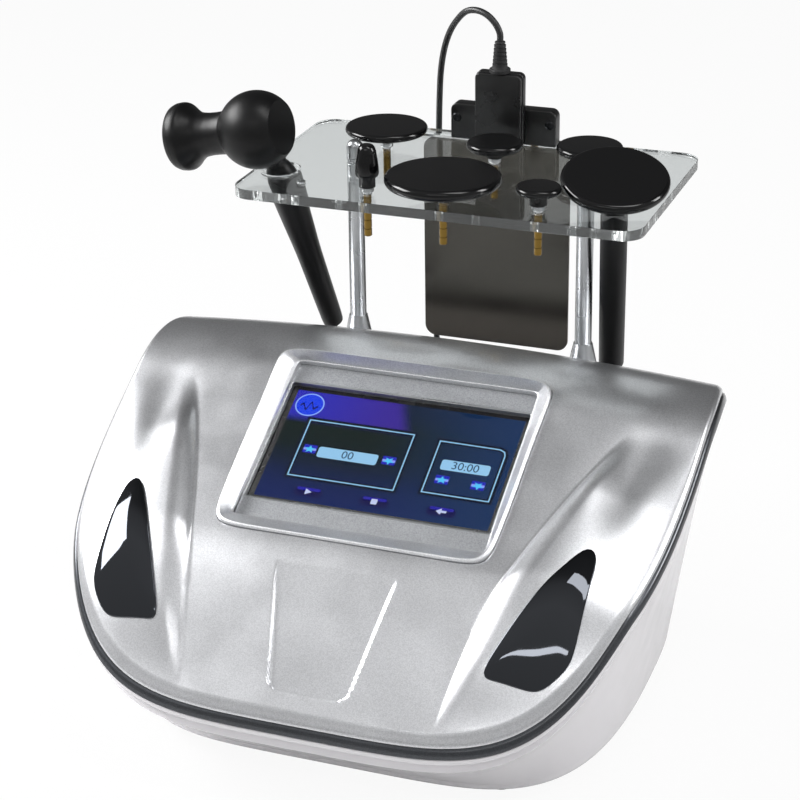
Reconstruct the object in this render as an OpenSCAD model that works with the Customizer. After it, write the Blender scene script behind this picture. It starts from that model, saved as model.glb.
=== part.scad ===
// Desktop facial toning machine: a moulded two-shell body with a touch screen, chrome side
// inlays and a clear shelf that carries two hand pieces, six plug-in tips and a return plate.
// +X is to the operator's right, +Y to the back, +Z up. The origin is on the table,
// in the middle of the four feet.

/* [Cover] */
// Greatest width of the cover
cover_w = 384; // [360:1:410]
// How far the front edge lies in front of the middle
cover_front = 163; // [155:1:175]
// How far the back edge lies behind the middle
cover_back = 165; // [160:1:175]
// Where the cover is widest, behind the middle
widest_y = 25; // [10:1:40]
// Squareness of the front corners
front_square = 3.9; // [3.2:0.1:5]
// Squareness of the back corners
back_square = 7.4; // [5:0.1:9]
// How much the front narrows, as a share of the width
front_taper = 0.106; // [0.06:0.002:0.14]
// How much the back narrows, as a share of the width
back_taper = 0.075; // [0.04:0.002:0.1]
// Height of the front edge
front_edge_h = 62; // [58:1:66]
// Height of the ridge behind the screen
ridge_h = 210; // [206:1:214]
// Height of the back edge
back_edge_h = 176; // [172:1:180]
// How far the sides fall below the middle line
crown = 13; // [8:1:18]
// Wall of the cover
cover_wall = 3; // [2.4:0.1:4]
// Height of the rounded edge of the cover
cover_edge = 4; // [3:0.1:5]

/* [Pods] */
// Height of the two side mounds
pod_h = 6; // [3:0.5:8]
// Width of the slope along the inner side of a mound
pod_flank = 14; // [10:1:18]
// Back end of a mound, behind the middle
pod_back = 14; // [6:1:20]
// Front end of a mound, in front of the middle
pod_front = 158; // [150:1:160]
// How far the chrome inlays stand above the mounds
inlay_h = 1.3; // [1:0.1:2.5]
// Dish of the chrome inlays
inlay_dish = 1; // [0.4:0.1:1.2]

/* [Tongue] */
// Depth of the recess below the screen, at its front end
tongue_depth = 4; // [2:0.5:5]
// Width of the recess at its front end
tongue_w = 52; // [40:1:60]
// How much wider the recess is at its upper end
tongue_spread = 26; // [10:1:30]
// Front end of the recess, in front of the middle
tongue_front = 149; // [145:1:152]

/* [Trim band and lower housing] */
// Height of the grey trim band
band_h = 7.2; // [5:0.1:9]
// How far the trim band flares out
band_flare = 2; // [1:0.1:3]
// Width of the shoulder that the shells meet on
seam_w = 3.4; // [3:0.1:5]
// Wall of the lower housing
housing_wall = 3; // [2.4:0.1:4]
// Width of the underside
base_w = 320; // [300:1:330]
// How far the underside reaches in front of the middle
base_front = 110; // [104:1:116]
// Height of the underside above the table
base_h = 8; // [6:0.5:10]
// Height of the lip below the band
lip_h = 4; // [3:0.5:6]
// Depth of the cove below the lip
cove = 3; // [1:0.5:4]
// Place of the flat back wall, behind the middle
back_wall_y = 157; // [154:1:158]

/* [Feet] */
// Radius of a rubber foot
foot_r = 11; // [9:0.5:13]
// Distance of the feet from the middle, sideways
foot_x = 100; // [90:1:108]
// Distance of the feet from the middle, front and back
foot_y = 84; // [76:1:88]

/* [Screen] */
// Visible width of the display
lcd_w = 154; // [148:0.5:155]
// Visible height of the display
lcd_h = 86; // [82:0.5:88]
// Lean of the screen from flat
screen_tilt = 27.4; // [26:0.2:29]
// Lower edge of the display, behind the middle
lcd_y = -40.8; // [-44:0.2:-38]
// Height of the lower edge of the display
lcd_z = 146; // [144:0.2:148]
// How far the cover lies above the display, square to it
screen_depth = 15.4; // [14:0.2:17]
// How far the frame's crest lies above the display
crest_h = 17.1; // [16.6:0.1:19]
// Thickness of the display
lcd_t = 6; // [4:0.5:8]
// Thickness of the touch glass
glass_t = 1.2; // [0.8:0.1:2]

/* [Shelf] */
// Width of the clear shelf
shelf_w = 274; // [264:1:286]
// Front edge of the shelf, behind the middle
shelf_front = 69.5; // [66:0.5:74]
// Back edge of the shelf, behind the middle
shelf_back = 232.6; // [230:0.5:240]
// Height of the top of the shelf
shelf_top = 305.6; // [298:0.5:314]
// Thickness of the shelf
shelf_t = 6.6; // [5:0.2:8]
// Corner radius of the shelf
shelf_corner = 14; // [8:1:20]
// Distance of the posts from the middle
post_x = 80.3; // [79:0.1:82]
// Place of the posts, behind the middle
post_y = 150; // [148:0.5:152]
// Radius of a post
post_r = 5.6; // [5:0.1:6]
// Radius of a cone foot at its base
cone_r = 9.6; // [8.6:0.1:11]
// Height of the screwed dome caps
cap_h = 14.4; // [12:0.2:15]

/* [Plug-in tips] */
// Radius of a tip's brass pin
pin_r = 2.6; // [2:0.1:3]
// How far the pins reach below the shelf
pin_reach = 23.6; // [18:0.2:26]
// Running clearance of pins and hand pieces in the shelf
shelf_gap = 0.35; // [0.3:0.05:0.6]
// Height of the steel collar on each pin
collar_h = 3; // [2:0.1:4]

/* [Hand pieces] */
// Greatest radius of the grip of the left hand piece
left_grip_r = 11.6; // [10.5:0.1:12.5]
// Radius of the ball of the left hand piece
ball_r = 27; // [25:0.5:28]
// Radius of the bell at the far end of the left hand piece
bell_r = 22.6; // [20:0.2:24]
// Radius of the grip of the right hand piece
right_grip_r = 8.8; // [8:0.1:10]
// Radius of the large disc of the right hand piece
big_disc_r = 34.7; // [33:0.1:35]

/* [Return plate] */
// Width of the steel plate
plate_w = 106; // [98:1:112]
// Lower edge of the steel plate
plate_low = 155.5; // [152:0.5:165]
// Thickness of the steel plate
plate_t = 1.6; // [1.2:0.1:2.4]
// Place of the steel plate, behind the middle
plate_y = 221; // [220:0.5:222]
// Width of the black bracket
bracket_w = 75; // [70:1:80]
// Height of the bracket above the shelf
bracket_h = 25; // [22:0.5:27]
// Thickness of the bracket
bracket_t = 10; // [8:0.5:12]
// Height of the plug block above the shelf
block_h = 51; // [48:0.5:54]
// Radius of the cord
cord_r = 2.2; // [2:0.1:2.4]

/* [Back panel] */
// Width of the metal back panel
panel_w = 208; // [200:1:214]
// Height of the metal back panel
panel_h = 96; // [92:1:100]
// Lower edge of the metal back panel
panel_low = 28; // [26:1:32]
// Thickness of the metal back panel
panel_t = 2; // [1.5:0.1:3]
// Side of the square fan
fan_side = 60; // [56:1:62]
// Depth of the fan
fan_t = 15; // [12:0.5:18]

/* [Hidden] */

silver = [0.72, 0.73, 0.75];
white_abs = [0.93, 0.93, 0.94];
black_abs = [0.06, 0.06, 0.07];
brass = [0.78, 0.6, 0.3];
steel = [0.75, 0.76, 0.78];
board_green = [0.05, 0.32, 0.2];

// ---------------------------------------------------------------- shared shapes
function clip(v, lo, hi) = max(lo, min(hi, v));
function smooth(v) = let (t = clip(v, 0, 1)) t * t * (3 - 2 * t);
function mix(a, b, t) = a * (1 - t) + b * t;

// Cubic through two stations, each [place, height, slope]
function hermite(y, a, b) =
    let (h = b[0] - a[0], t = (y - a[0]) / h, t2 = t * t, t3 = t2 * t)
    (2 * t3 - 3 * t2 + 1) * a[1] + (t3 - 2 * t2 + t) * h * a[2]
    + (3 * t2 - 2 * t3) * b[1] + (t3 - t2) * h * b[2];

// Point of a rounded four-sided outline in direction a. Each side is [reach, squareness, taper]
function outline_point(a, half_w, mid, front, back, grow = 0) =
    let (c = abs(cos(a)), s = abs(sin(a)), side = sin(a) < 0 ? front : back,
         n = side[1], m = pow(pow(c, n) + pow(s, n), -1 / n), u = s * m)
    [sign(cos(a)) * (half_w + grow) * c * m * (1 - side[2] * u * u),
     mid + sign(sin(a)) * (side[0] + grow) * u];

// Directions round the body, closer together at the corners
ring_n = 96;
corner_pull = 5;
function direction(i) = let (a = 360 * i / ring_n) a + corner_pull * sin(4 * a);

// Triangles between ring k and ring k + 1 of n points each
function band_faces(k, next, n) =
    [for (i = [0:n - 1]) let (j = (i + 1) % n)
        each [[k * n + i, next * n + j, k * n + j], [k * n + i, next * n + i, next * n + j]]];

// Solid whose skin runs through closed rings and back to the first one
module ring_solid(rings) {
    n = len(rings[0]);
    polyhedron(points = [for (r = rings) each r],
        faces = [for (k = [0:len(rings) - 1]) each band_faces(k, (k + 1) % len(rings), n)]);
}

// Solid whose skin runs through closed rings and is capped flat at both ends
module capped_solid(rings) {
    n = len(rings[0]);
    last = len(rings) - 1;
    polyhedron(points = [for (r = rings) each r],
        faces = [each [for (k = [0:last - 1]) each band_faces(k, k + 1, n)],
                 [for (i = [0:n - 1]) i],
                 [for (i = [n - 1:-1:0]) last * n + i]]);
}

module rounded_rect(w, h, r) {
    for (x = [-1, 1]) for (y = [-1, 1])
        translate([x * (w / 2 - r), y * (h / 2 - r)]) circle(r, $fn = 32);
    square([w - 2 * r, h], center = true);
    square([w, h - 2 * r], center = true);
}

module tube(r_out, r_in, h) {
    difference() {
        cylinder(r = r_out, h = h, $fn = 40);
        translate([0, 0, -1]) cylinder(r = r_in, h = h + 2, $fn = 40);
    }
}

// Turns a shape drawn with its axis along Z so that the axis points to the back
module facing_back() { rotate([-90, 0, 0]) children(); }

// ---------------------------------------------------------------- cover surface
tilt_slope = tan(screen_tilt);
flat_start = -80;   // the cover is straight from here, beside the screen,
flat_end = 30;      // to here, and then rolls over the ridge
ridge_y = 80;
function screen_plane_z(y) = lcd_z + (y - lcd_y) * tilt_slope;
function flat_z(y) = screen_plane_z(y) + screen_depth / cos(screen_tilt);

front_slope = 0.9;
back_slope = 0.55;
profile = [[-cover_front, front_edge_h, front_slope], [flat_start, flat_z(flat_start), tilt_slope],
    [flat_end, flat_z(flat_end), tilt_slope], [ridge_y, ridge_h, 0],
    [cover_back, back_edge_h, -back_slope]];
function centre_z(y) =
    let (k = clip(len([for (p = profile) if (p[0] <= y) 1]), 1, len(profile) - 1))
    hermite(y, profile[k - 1], profile[k]);

front_side = [widest_y + cover_front, front_square, front_taper];
back_side = [cover_back - widest_y, back_square, back_taper];
function plan(i, grow = 0) =
    outline_point(direction(i), cover_w / 2, widest_y, front_side, back_side, grow);
function edge_x(y) =
    let (side = y < widest_y ? front_side : back_side, u = clip(abs(y - widest_y) / side[0], 0, 1))
    cover_w / 2 * pow(1 - pow(u, side[1]), 1 / side[1]) * (1 - side[2] * u * u);

crown_y = 40;       // the sides fall most here
crown_reach = 203;  // and not at all this far from it
function bare_z(x, y) =
    centre_z(y) - crown * clip(1 - pow((y - crown_y) / crown_reach, 2), 0, 1) * pow(x / (cover_w / 2), 2);

// Inner edge of a side mound: it runs outwards from front to back
crease_front = [140, cover_w / 2 - 110];     // [in front of the middle, from the centre line]
crease_lean = 0.261;
crease_bend = 0.00072;
function crease_x(y) =
    let (d = y + crease_front[0]) crease_front[1] + crease_lean * d + crease_bend * d * abs(d);
pod_ends = 26;      // length over which a mound fades at its ends
pod_side = 12;      // and along the rim
function pod_z(x, y) =
    pod_h * smooth((abs(x) - crease_x(y)) / pod_flank) * smooth((pod_back - y) / pod_ends)
    * smooth((y + pod_front) / pod_ends) * smooth((edge_x(y) - abs(x) - 2) / pod_side);
function cover_z(x, y) = bare_z(x, y) + pod_z(x, y);

// ---------------------------------------------------------------- screen opening
// Flat coordinates on the display: x across, v up the slope from its lower edge, n off it
frame_low = 35.5;       // the frame's crest reaches this far below the display
frame_high = 22.3;      // and this far above it
frame_side = 14;        // and this far beside it
frame_square = 14;
frame_taper = 0.024;
frame_mid = (lcd_h + frame_high - frame_low) / 2;
frame_reach = (lcd_h + frame_high + frame_low) / 2;
opening_gap = 0.4;
module on_screen() { translate([0, lcd_y, lcd_z]) rotate([screen_tilt, 0, 0]) children(); }
function frame_outline(a, grow) =
    outline_point(a, lcd_w / 2 + frame_side, frame_mid,
        [frame_reach, frame_square, frame_taper], [frame_reach, frame_square, -frame_taper], grow);
// Place behind the middle of a point that lies on the cover, straight above v on the display
function drop_y(v, n) = lcd_y + v * cos(screen_tilt) - n * sin(screen_tilt);
function over_plane(x, y) = (bare_z(x, y) - screen_plane_z(y)) * cos(screen_tilt);
function opening(i) =
    let (p = frame_outline(direction(i), opening_gap), y1 = drop_y(p[1], screen_depth),
         y2 = drop_y(p[1], over_plane(p[0], y1)))
    [p[0], y2];

// ---------------------------------------------------------------- cover, band and housing
skin_steps = 12;
edge_rounding = [[1, 0], [0.32, 0.28], [0, 1]];     // [in from the edge, down], times cover_edge
module tongue_cut() {
    // A flat-bottomed tapering recess that runs out towards the screen
    top_y = -92;
    foot = [-tongue_front, centre_z(-tongue_front) - tongue_depth];
    head = [top_y, centre_z(top_y) + 0.5];
    lean = atan2(head[1] - foot[1], head[0] - foot[0]);
    long = norm(head - foot);
    corner = 6;
    translate([0, foot[0], foot[1]]) rotate([lean, 0, 0]) linear_extrude(40)
        union() {
            polygon([[-tongue_w / 2, corner], [tongue_w / 2, corner],
                     [(tongue_w + tongue_spread) / 2, long], [-(tongue_w + tongue_spread) / 2, long]]);
            for (s = [-1, 1]) translate([s * (tongue_w / 2 - corner + 0.7), corner]) circle(corner, $fn = 32);
            translate([-tongue_w / 2 + corner, 0]) square([tongue_w - 2 * corner, corner + 1]);
        }
}

module top_cover() {
    underfill = tongue_depth + 2;
    function thick(x, y) = cover_wall + underfill * smooth((60 - abs(x)) / 20) * smooth((-78 - y) / 14);
    inner = [for (i = [0:ring_n - 1]) opening(i)];
    rim = [for (i = [0:ring_n - 1]) plan(i)];
    function skin(t) = [for (i = [0:ring_n - 1])
        let (reach = 1 - cover_edge / norm(rim[i] - inner[i]), p = mix(inner[i], rim[i], t * reach))
        [p[0], p[1], cover_z(p[0], p[1])]];
    function edge(step) = [for (i = [0:ring_n - 1])
        let (r = rim[i], p = mix(r, inner[i], step[0] * cover_edge / norm(r - inner[i])))
        [p[0], p[1], mix(cover_z(r[0], r[1]), cover_z(p[0], p[1]), step[0]) - step[1] * cover_edge]];
    function lining(t) = [for (i = [0:ring_n - 1])
        let (p = mix(inner[i], plan(i, -seam_w), t), wall = t > 0 ? thick(p[0], p[1]) : cover_wall)
        [p[0], p[1] + (1 - t) * cover_wall * tilt_slope, cover_z(p[0], p[1]) - wall]];
    color(silver) difference() {
        ring_solid([each [for (k = [0:skin_steps - 1]) skin(k / skin_steps)],
            each [for (e = edge_rounding) edge(e)], rim_ring(-seam_w, cover_edge),
            each [for (t = [1, 0.75, 0.5, 0.25, 0]) lining(t)]]);
        tongue_cut();
        for (s = [-1, 1]) translate([s * post_x, post_y, back_edge_h - 20])
            cylinder(r = stud_r + 0.3, h = 40, $fn = 32);
    }
}

// Ring that runs parallel to the rim of the cover
function rim_ring(grow, down) = [for (i = [0:ring_n - 1]) let (r = plan(i), p = plan(i, grow))
    [p[0], p[1], cover_z(r[0], r[1]) - down]];
band_low = cover_edge + band_h;
seam_gap = 0.3;         // between the shells and the band

module trim_band() color([0.42, 0.43, 0.45])
    ring_solid([rim_ring(-seam_w, cover_edge + seam_gap), rim_ring(0.4, cover_edge + seam_gap),
        rim_ring(band_flare * 0.6, cover_edge + band_h * 0.3),
        rim_ring(band_flare, band_low), rim_ring(-seam_w, band_low)]);

base_mid = 50;                        // the underside is widest here
base_back = back_wall_y + 6;          // and is cut off by the flat back wall
base_square = 4.4;
base_taper = 0.03;
function base_point(i, grow) = outline_point(direction(i), base_w / 2, base_mid,
    [base_front + base_mid, base_square, base_taper], [base_back - base_mid, base_square, base_taper], grow);
shoulder = band_low + lip_h + 7;      // the wall proper starts this far below the rim
wall_curve = 1.5;                     // how late the wall turns under
base_round = 5;
function wall_ring(t, grow) = [for (i = [0:ring_n - 1])
    let (r = plan(i), top = plan(i, grow - cove / 2), low = base_point(i, grow),
         p = mix(top, low, pow(t, wall_curve)),
         z = mix(cover_z(r[0], r[1]) - shoulder, base_h + base_round, t))
    [p[0], min(p[1], back_wall_y + grow), z]];
function floor_ring(grow, z) = [for (i = [0:ring_n - 1]) let (p = base_point(i, grow))
    [p[0], min(p[1], back_wall_y + grow), z]];

module lower_housing() color(white_abs) {
    window = [panel_w - 2 * panel_lap, 4 * housing_wall, panel_h - 2 * panel_lap];
    difference() {
        capped_solid([floor_ring(-housing_wall - 2, base_h + housing_wall),
            each [for (t = [1, 0.7, 0.4, 0.1]) wall_ring(t, -housing_wall)],
            rim_ring(-housing_wall - cove, shoulder - 5), rim_ring(-seam_w, band_low + seam_gap),
            rim_ring(band_flare - 0.8, band_low + seam_gap), rim_ring(band_flare - 1, band_low + lip_h),
            rim_ring(-cove, band_low + lip_h + 2),
            each [for (t = [0, 0.15, 0.3, 0.45, 0.6, 0.75, 0.88, 1]) wall_ring(t, 0)],
            floor_ring(-1.6, base_h + 1.4), floor_ring(-base_round, base_h)]);
        translate([0, back_wall_y, panel_low + panel_h / 2]) cube(window, center = true);
        for (p = column_places) translate([p[0], p[1], base_h - 1])
            cylinder(r = screw_r + 0.2, h = 10, $fn = 24);
        for (p = panel_screws) at_panel(p, -3 * housing_wall)
            cylinder(r = panel_screw_r + 0.05, h = 4 * housing_wall, $fn = 24);
    }
}

// ---------------------------------------------------------------- screen
mask_low = 21.3;
mask_high = 17.7;
mask_half = [lcd_w / 2 + 5.7, lcd_w / 2 + 4.1];    // half width of the opening, low and high end
mask_n = 5;
bezel_n = 8.5;          // height of the frame's inner edge
bezel_low = 1.5;        // and of its underside
module screen_bezel() {
    n = 48;
    // The inner edge is a plain four-sided opening with small corner radii
    function inner_outline(a, grow) = outline_point(a, (mask_half[0] + mask_half[1]) / 2,
        (lcd_h + mask_high - mask_low) / 2, [(lcd_h + mask_high + mask_low) / 2, 60, -0.01],
        [(lcd_h + mask_high + mask_low) / 2, 60, 0.01], grow);
    function out(grow, z) = [for (i = [0:n - 1])
        let (a = 360 * i / n, p = frame_outline(a + corner_pull * sin(4 * a), grow)) [p[0], p[1], z]];
    function in(grow, z) = [for (i = [0:n - 1]) let (p = inner_outline(360 * i / n, grow)) [p[0], p[1], z]];
    color([0.85, 0.86, 0.87]) on_screen() ring_solid([out(-2, bezel_low), out(0, bezel_low + 4),
        out(0, crest_h - 1.4), out(-0.5, crest_h - 0.4), out(-1.6, crest_h), in(0.6, bezel_n + 0.2),
        in(0, bezel_n - 0.4), in(0, mask_n), in(2, mask_n), in(2, bezel_low)]);
}

module screen_mask() color([0.5, 0.51, 0.53]) {
    gap = 0.2;
    lap = 1;
    window = [lcd_w + 7, lcd_h + 6.5];
    plate = [2 * (mask_half[1] + lap), lcd_h + mask_low + mask_high + 2 * lap, mask_n - gap - glass_t];
    on_screen() translate([0, 0, glass_t]) difference() {
        translate([-plate[0] / 2, -mask_low - lap]) cube(plate);
        translate([0, lcd_h / 2 - 1, -1]) linear_extrude(8) rounded_rect(window[0], window[1], 1.5);
    }
}

module lcd_panel() color([0.05, 0.07, 0.2])
    on_screen() translate([-lcd_w / 2 - 5, -4, -lcd_t]) cube([lcd_w + 10, lcd_h + 8, lcd_t]);

module touch_glass() color([0.6, 0.7, 0.8])
    on_screen() translate([-lcd_w / 2 - 2.5, -2.5, 0]) cube([lcd_w + 5, lcd_h + 5, glass_t]);

module display_board() color(board_green)
    on_screen() {
        translate([-70, 8, -lcd_t - 9.6]) cube([140, 70, 1.6]);
        for (x = [-60, 60]) for (v = [16, 70]) translate([x, v, -lcd_t - 8]) cylinder(r = 3, h = 8, $fn = 24);
        translate([-22, 25, -lcd_t - 13]) cube([36, 30, 3.4]);
        translate([30, 18, -lcd_t - 18]) cube([24, 12, 8.4]);
    }

// ---------------------------------------------------------------- chrome inlays
// Rounded five-sided outline in polar form: each side is [direction it faces, distance]
inlay_centre = [cover_w / 2 - 56, -106];
inlay_sides = [[0, 19], [70, 51], [149.6, 17.5], [270, 26], [315, 20.5]];
inlay_round = 9;
function inlay_reach(a) =
    pow([for (s = inlay_sides) pow(max(0, cos(a - s[0])) / s[1], inlay_round)] * [for (s = inlay_sides) 1],
        -1 / inlay_round);
inlay_n = 40;
inlay_lift = 0.8;      // the inlays lie on a thin bead of glue
module pod_inlay(side) {
    function lap(scale_to, lift) = [for (i = [0:inlay_n - 1])
        let (a = 360 * i / inlay_n * side, d = inlay_reach(a) * scale_to,
             x = inlay_centre[0] + d * cos(a), y = inlay_centre[1] + d * sin(a))
        [side * x, y, cover_z(x, y) + lift]];
    crest = inlay_lift + inlay_h;
    color(steel) capped_solid([lap(0.25, inlay_lift), lap(0.6, inlay_lift), lap(0.97, inlay_lift),
        lap(1, inlay_lift + 0.5), lap(0.985, crest), lap(0.93, crest - 0.1),
        lap(0.6, crest - inlay_dish * 0.7), lap(0.25, crest - inlay_dish)]);
}
module pod_inlay_left() { pod_inlay(-1); }
module pod_inlay_right() { pod_inlay(1); }

// ---------------------------------------------------------------- feet, screws and columns
screw_r = 2;
column_places = [for (s = [-1, 1]) each [[s * 120, -50], [s * 135, 100], [s * 60, -88]]];
module rubber_feet() color([0.12, 0.12, 0.13])
    for (x = [-foot_x, foot_x]) for (y = [-foot_y, foot_y]) translate([x, y, 0])
        difference() {
            union() {
                cylinder(r1 = foot_r - 1, r2 = foot_r, h = 2, $fn = 40);
                translate([0, 0, 2]) cylinder(r = foot_r, h = base_h - 2, $fn = 40);
            }
            translate([0, 0, -1]) cylinder(r = foot_r / 2, h = 4, $fn = 32);
        }

column_r = 4.5;
module housing_screws() color(steel)
    for (p = column_places) translate([p[0], p[1], base_h]) {
        translate([0, 0, -1.8]) cylinder(r = 3.6, h = 1.8, $fn = 28);
        cylinder(r = screw_r, h = housing_wall + 9, $fn = 24);
    }

// Top of a column: just under the lowest part of the cover's lining above it
column_gap = 3;
function column_top(p) = bare_z(abs(p[0]) + column_r, p[1] - column_r) - cover_wall - column_gap
    - (p[1] < -70 ? tongue_depth + 2 : 0);
module cover_columns() color(brass)
    for (p = column_places) translate([p[0], p[1], base_h + housing_wall])
        difference() {
            cylinder(r = column_r, h = column_top(p) - base_h - housing_wall, $fn = 32);
            translate([0, 0, -1]) cylinder(r = screw_r + 0.05, h = 12, $fn = 24);
        }

// ---------------------------------------------------------------- back panel
panel_lap = 7;
panel_out = back_wall_y + panel_t;
panel_mid = panel_low + panel_h / 2;
inlet_size = [28, 48];
rocker_size = [16, 24];
panel_margin = 5;       // between the window in the housing and what hangs on the panel
half_window = panel_w / 2 - panel_lap - panel_margin;
fan_place = [fan_side / 2 - half_window, panel_mid];
inlet_place = [half_window - inlet_size[0] / 2, panel_mid - 8];
rocker_place = [inlet_place[0] - inlet_size[0] / 2 - rocker_size[0] / 2 - 12, panel_mid - 8];
socket_r = 7.5;
socket_places = [for (k = [0:2]) [-16 + 20 * k, panel_low + 24]];
fan_screws = [for (x = [-1, 1]) for (y = [-1, 1]) fan_place + [x, y] * (fan_side / 2 - 5)];
screw_x = panel_w / 2 - 3.5;
panel_screw_r = 1.5;
panel_screws = [for (x = [-screw_x, screw_x]) for (z = [4, panel_h - 4]) [x, panel_low + z]];

module at_panel(place, depth = 0) {
    translate([place[0], panel_out + depth, place[1]]) facing_back() children();
}

module rear_panel() color([0.2, 0.2, 0.22]) difference() {
    translate([-panel_w / 2, back_wall_y, panel_low]) cube([panel_w, panel_t, panel_h]);
    at_panel(fan_place, -panel_t - 1) cylinder(r = fan_side / 2 - 2, h = panel_t + 2, $fn = 64);
    for (b = [[inlet_place, inlet_size], [rocker_place, rocker_size]])
        at_panel(b[0], -panel_t - 1) linear_extrude(panel_t + 2) square(b[1] - [1.6, 1.6], center = true);
    for (p = socket_places) at_panel(p, -panel_t - 1) cylinder(r = socket_r + 0.2, h = panel_t + 2, $fn = 40);
    for (p = panel_screws) at_panel(p, -panel_t - 1) cylinder(r = 1.7, h = panel_t + 2, $fn = 24);
    for (p = fan_screws) at_panel(p, -panel_t - 1) cylinder(r = 2.1, h = panel_t + 2, $fn = 24);
}

module rear_panel_screws() color(steel)
    for (p = panel_screws) at_panel(p) {
        difference() {
            cylinder(r1 = 3, r2 = 2.2, h = 1.8, $fn = 28);
            translate([0, 0, 0.9]) cube([4, 0.9, 2], center = true);
        }
        translate([0, 0, -panel_t - housing_wall + 0.2])
            cylinder(r = panel_screw_r, h = panel_t + housing_wall - 0.2, $fn = 24);
    }

// ---- mains inlet with a fuse drawer above it
flange_t = 2.5;
drawer = [22, 9, 20];
drawer_y = 15;       // height of the drawer above the middle of the inlet
module power_inlet() color(black_abs) at_panel(inlet_place) difference() {
    union() {
        linear_extrude(flange_t) rounded_rect(inlet_size[0], inlet_size[1], 2);
        translate([0, 0, -24]) linear_extrude(24.1) square(inlet_size - [2, 2], center = true);
    }
    translate([0, 4, -16]) linear_extrude(20) rounded_rect(23, 16, 2.5);
    translate([0, -drawer_y, -drawer[2] + 3]) linear_extrude(drawer[2] + 1)
        square([drawer[0] + 0.8, drawer[1] + 0.8], center = true);
}
module fuse_drawer() color([0.1, 0.1, 0.11]) at_panel(inlet_place) translate([0, -drawer_y, 0]) difference() {
    union() {
        translate([0, 0, -drawer[2] + 4]) linear_extrude(drawer[2] - 4 + flange_t)
            square([drawer[0], drawer[1]], center = true);
        translate([0, 0, flange_t]) linear_extrude(1.2) square([drawer[0], drawer[1] - 2], center = true);
    }
    translate([0, -1, -drawer[2] + 9]) cube([drawer[0] - 6, drawer[1], 8], center = true);
}

rocker_throw = 6;
trunnion_r = 1.2;       // the rocker turns on two stub pins
module rocker_frame() color(black_abs) at_panel(rocker_place) difference() {
    union() {
        linear_extrude(2) rounded_rect(rocker_size[0], rocker_size[1], 1.5);
        translate([0, 0, -16]) linear_extrude(16.1) square(rocker_size - [2, 2], center = true);
    }
    translate([0, 0, -9]) linear_extrude(12)
        square([rocker_size[0] - 4.4, rocker_size[1] - 4.4], center = true);
    rotate([0, 90, 0]) cylinder(r = trunnion_r + 0.05, h = rocker_size[0] - 2.6, center = true, $fn = 24);
}
module rocker_switch() color([0.55, 0.08, 0.07]) at_panel(rocker_place) rotate([-rocker_throw, 0, 0]) {
    w = rocker_size[0] - 5.2;
    long = rocker_size[1] - 6.4;
    rotate([90, 0, 90]) translate([0, 0, -w / 2]) linear_extrude(w)
        polygon([[-long / 2 + 1, -4], [long / 2 - 1, -4], [long / 2, 3.4], [0, 1.6], [-long / 2, 3.4]]);
    rotate([0, 90, 0]) cylinder(r = trunnion_r, h = rocker_size[0] - 3, center = true, $fn = 24);
}

module output_sockets() color([0.3, 0.3, 0.32])
    for (p = socket_places) at_panel(p) difference() {
        union() {
            cylinder(r = socket_r + 2, h = 1.8, $fn = 40);
            translate([0, 0, -14]) cylinder(r = socket_r, h = 14.1, $fn = 40);
        }
        translate([0, 0, -10]) cylinder(r = socket_r - 1.5, h = 20, $fn = 40);
    }

// ---- fan behind the round opening
fan_gap = 0.1;
shaft_r = 1.5;
module fan_frame() color(black_abs) at_panel(fan_place, -panel_t - fan_gap - fan_t) difference() {
    linear_extrude(fan_t) rounded_rect(fan_side, fan_side, 4);
    translate([0, 0, 2]) cylinder(r = fan_side / 2 - 2, h = fan_t, $fn = 64);
    difference() {
        translate([0, 0, -1]) cylinder(r = fan_side / 2 - 2, h = 4, $fn = 64);
        translate([0, 0, -1]) cylinder(r = 11, h = 4, $fn = 40);
        for (a = [30, 150, 270]) rotate(a) translate([0, -2, -1]) cube([fan_side, 4, 4]);
    }
    for (x = [-1, 1]) for (y = [-1, 1]) translate([x, y] * (fan_side / 2 - 5)) translate([0, 0, -1])
        cylinder(r = 2.1, h = fan_t + 2, $fn = 24);
    translate([0, 0, -1]) cylinder(r = shaft_r + 0.05, h = 4, $fn = 24);
}
module fan_rotor() color([0.14, 0.14, 0.15]) at_panel(fan_place, -panel_t - fan_gap - fan_t + 2.5) {
    hub = 12;
    cylinder(r = hub, h = 10, $fn = 48);
    translate([0, 0, -2.3]) cylinder(r = shaft_r, h = 3, $fn = 24);
    for (k = [0:6]) rotate(k * 360 / 7) translate([hub - 0.5, 0, 5]) rotate([35, 0, 0])
        translate([0, -6, -0.75]) cube([fan_side / 2 - 3.4 - hub, 12, 1.5]);
}
guard_wire = 1.8;
module fan_guard() color(steel) at_panel(fan_place) {
    for (k = [0:3]) let (r = fan_side / 2 - 4 - 7 * k)
        tube(r + guard_wire / 2, r - guard_wire / 2, guard_wire);
    for (a = [45, 135]) rotate(a) translate([0, 0, guard_wire / 2])
        cube([fan_side * 1.2, guard_wire, guard_wire], center = true);
    for (x = [-1, 1]) for (y = [-1, 1]) translate([x, y] * (fan_side / 2 - 5)) {
        cylinder(r = 3.4, h = guard_wire + 0.6, $fn = 28);
        translate([0, 0, -panel_t - fan_gap - 8]) cylinder(r = 1.9, h = 9, $fn = 24);
    }
}

// ---------------------------------------------------------------- boards inside
standoff_h = 8;
board_z = base_h + housing_wall + standoff_h;
board_t = 1.6;
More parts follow.
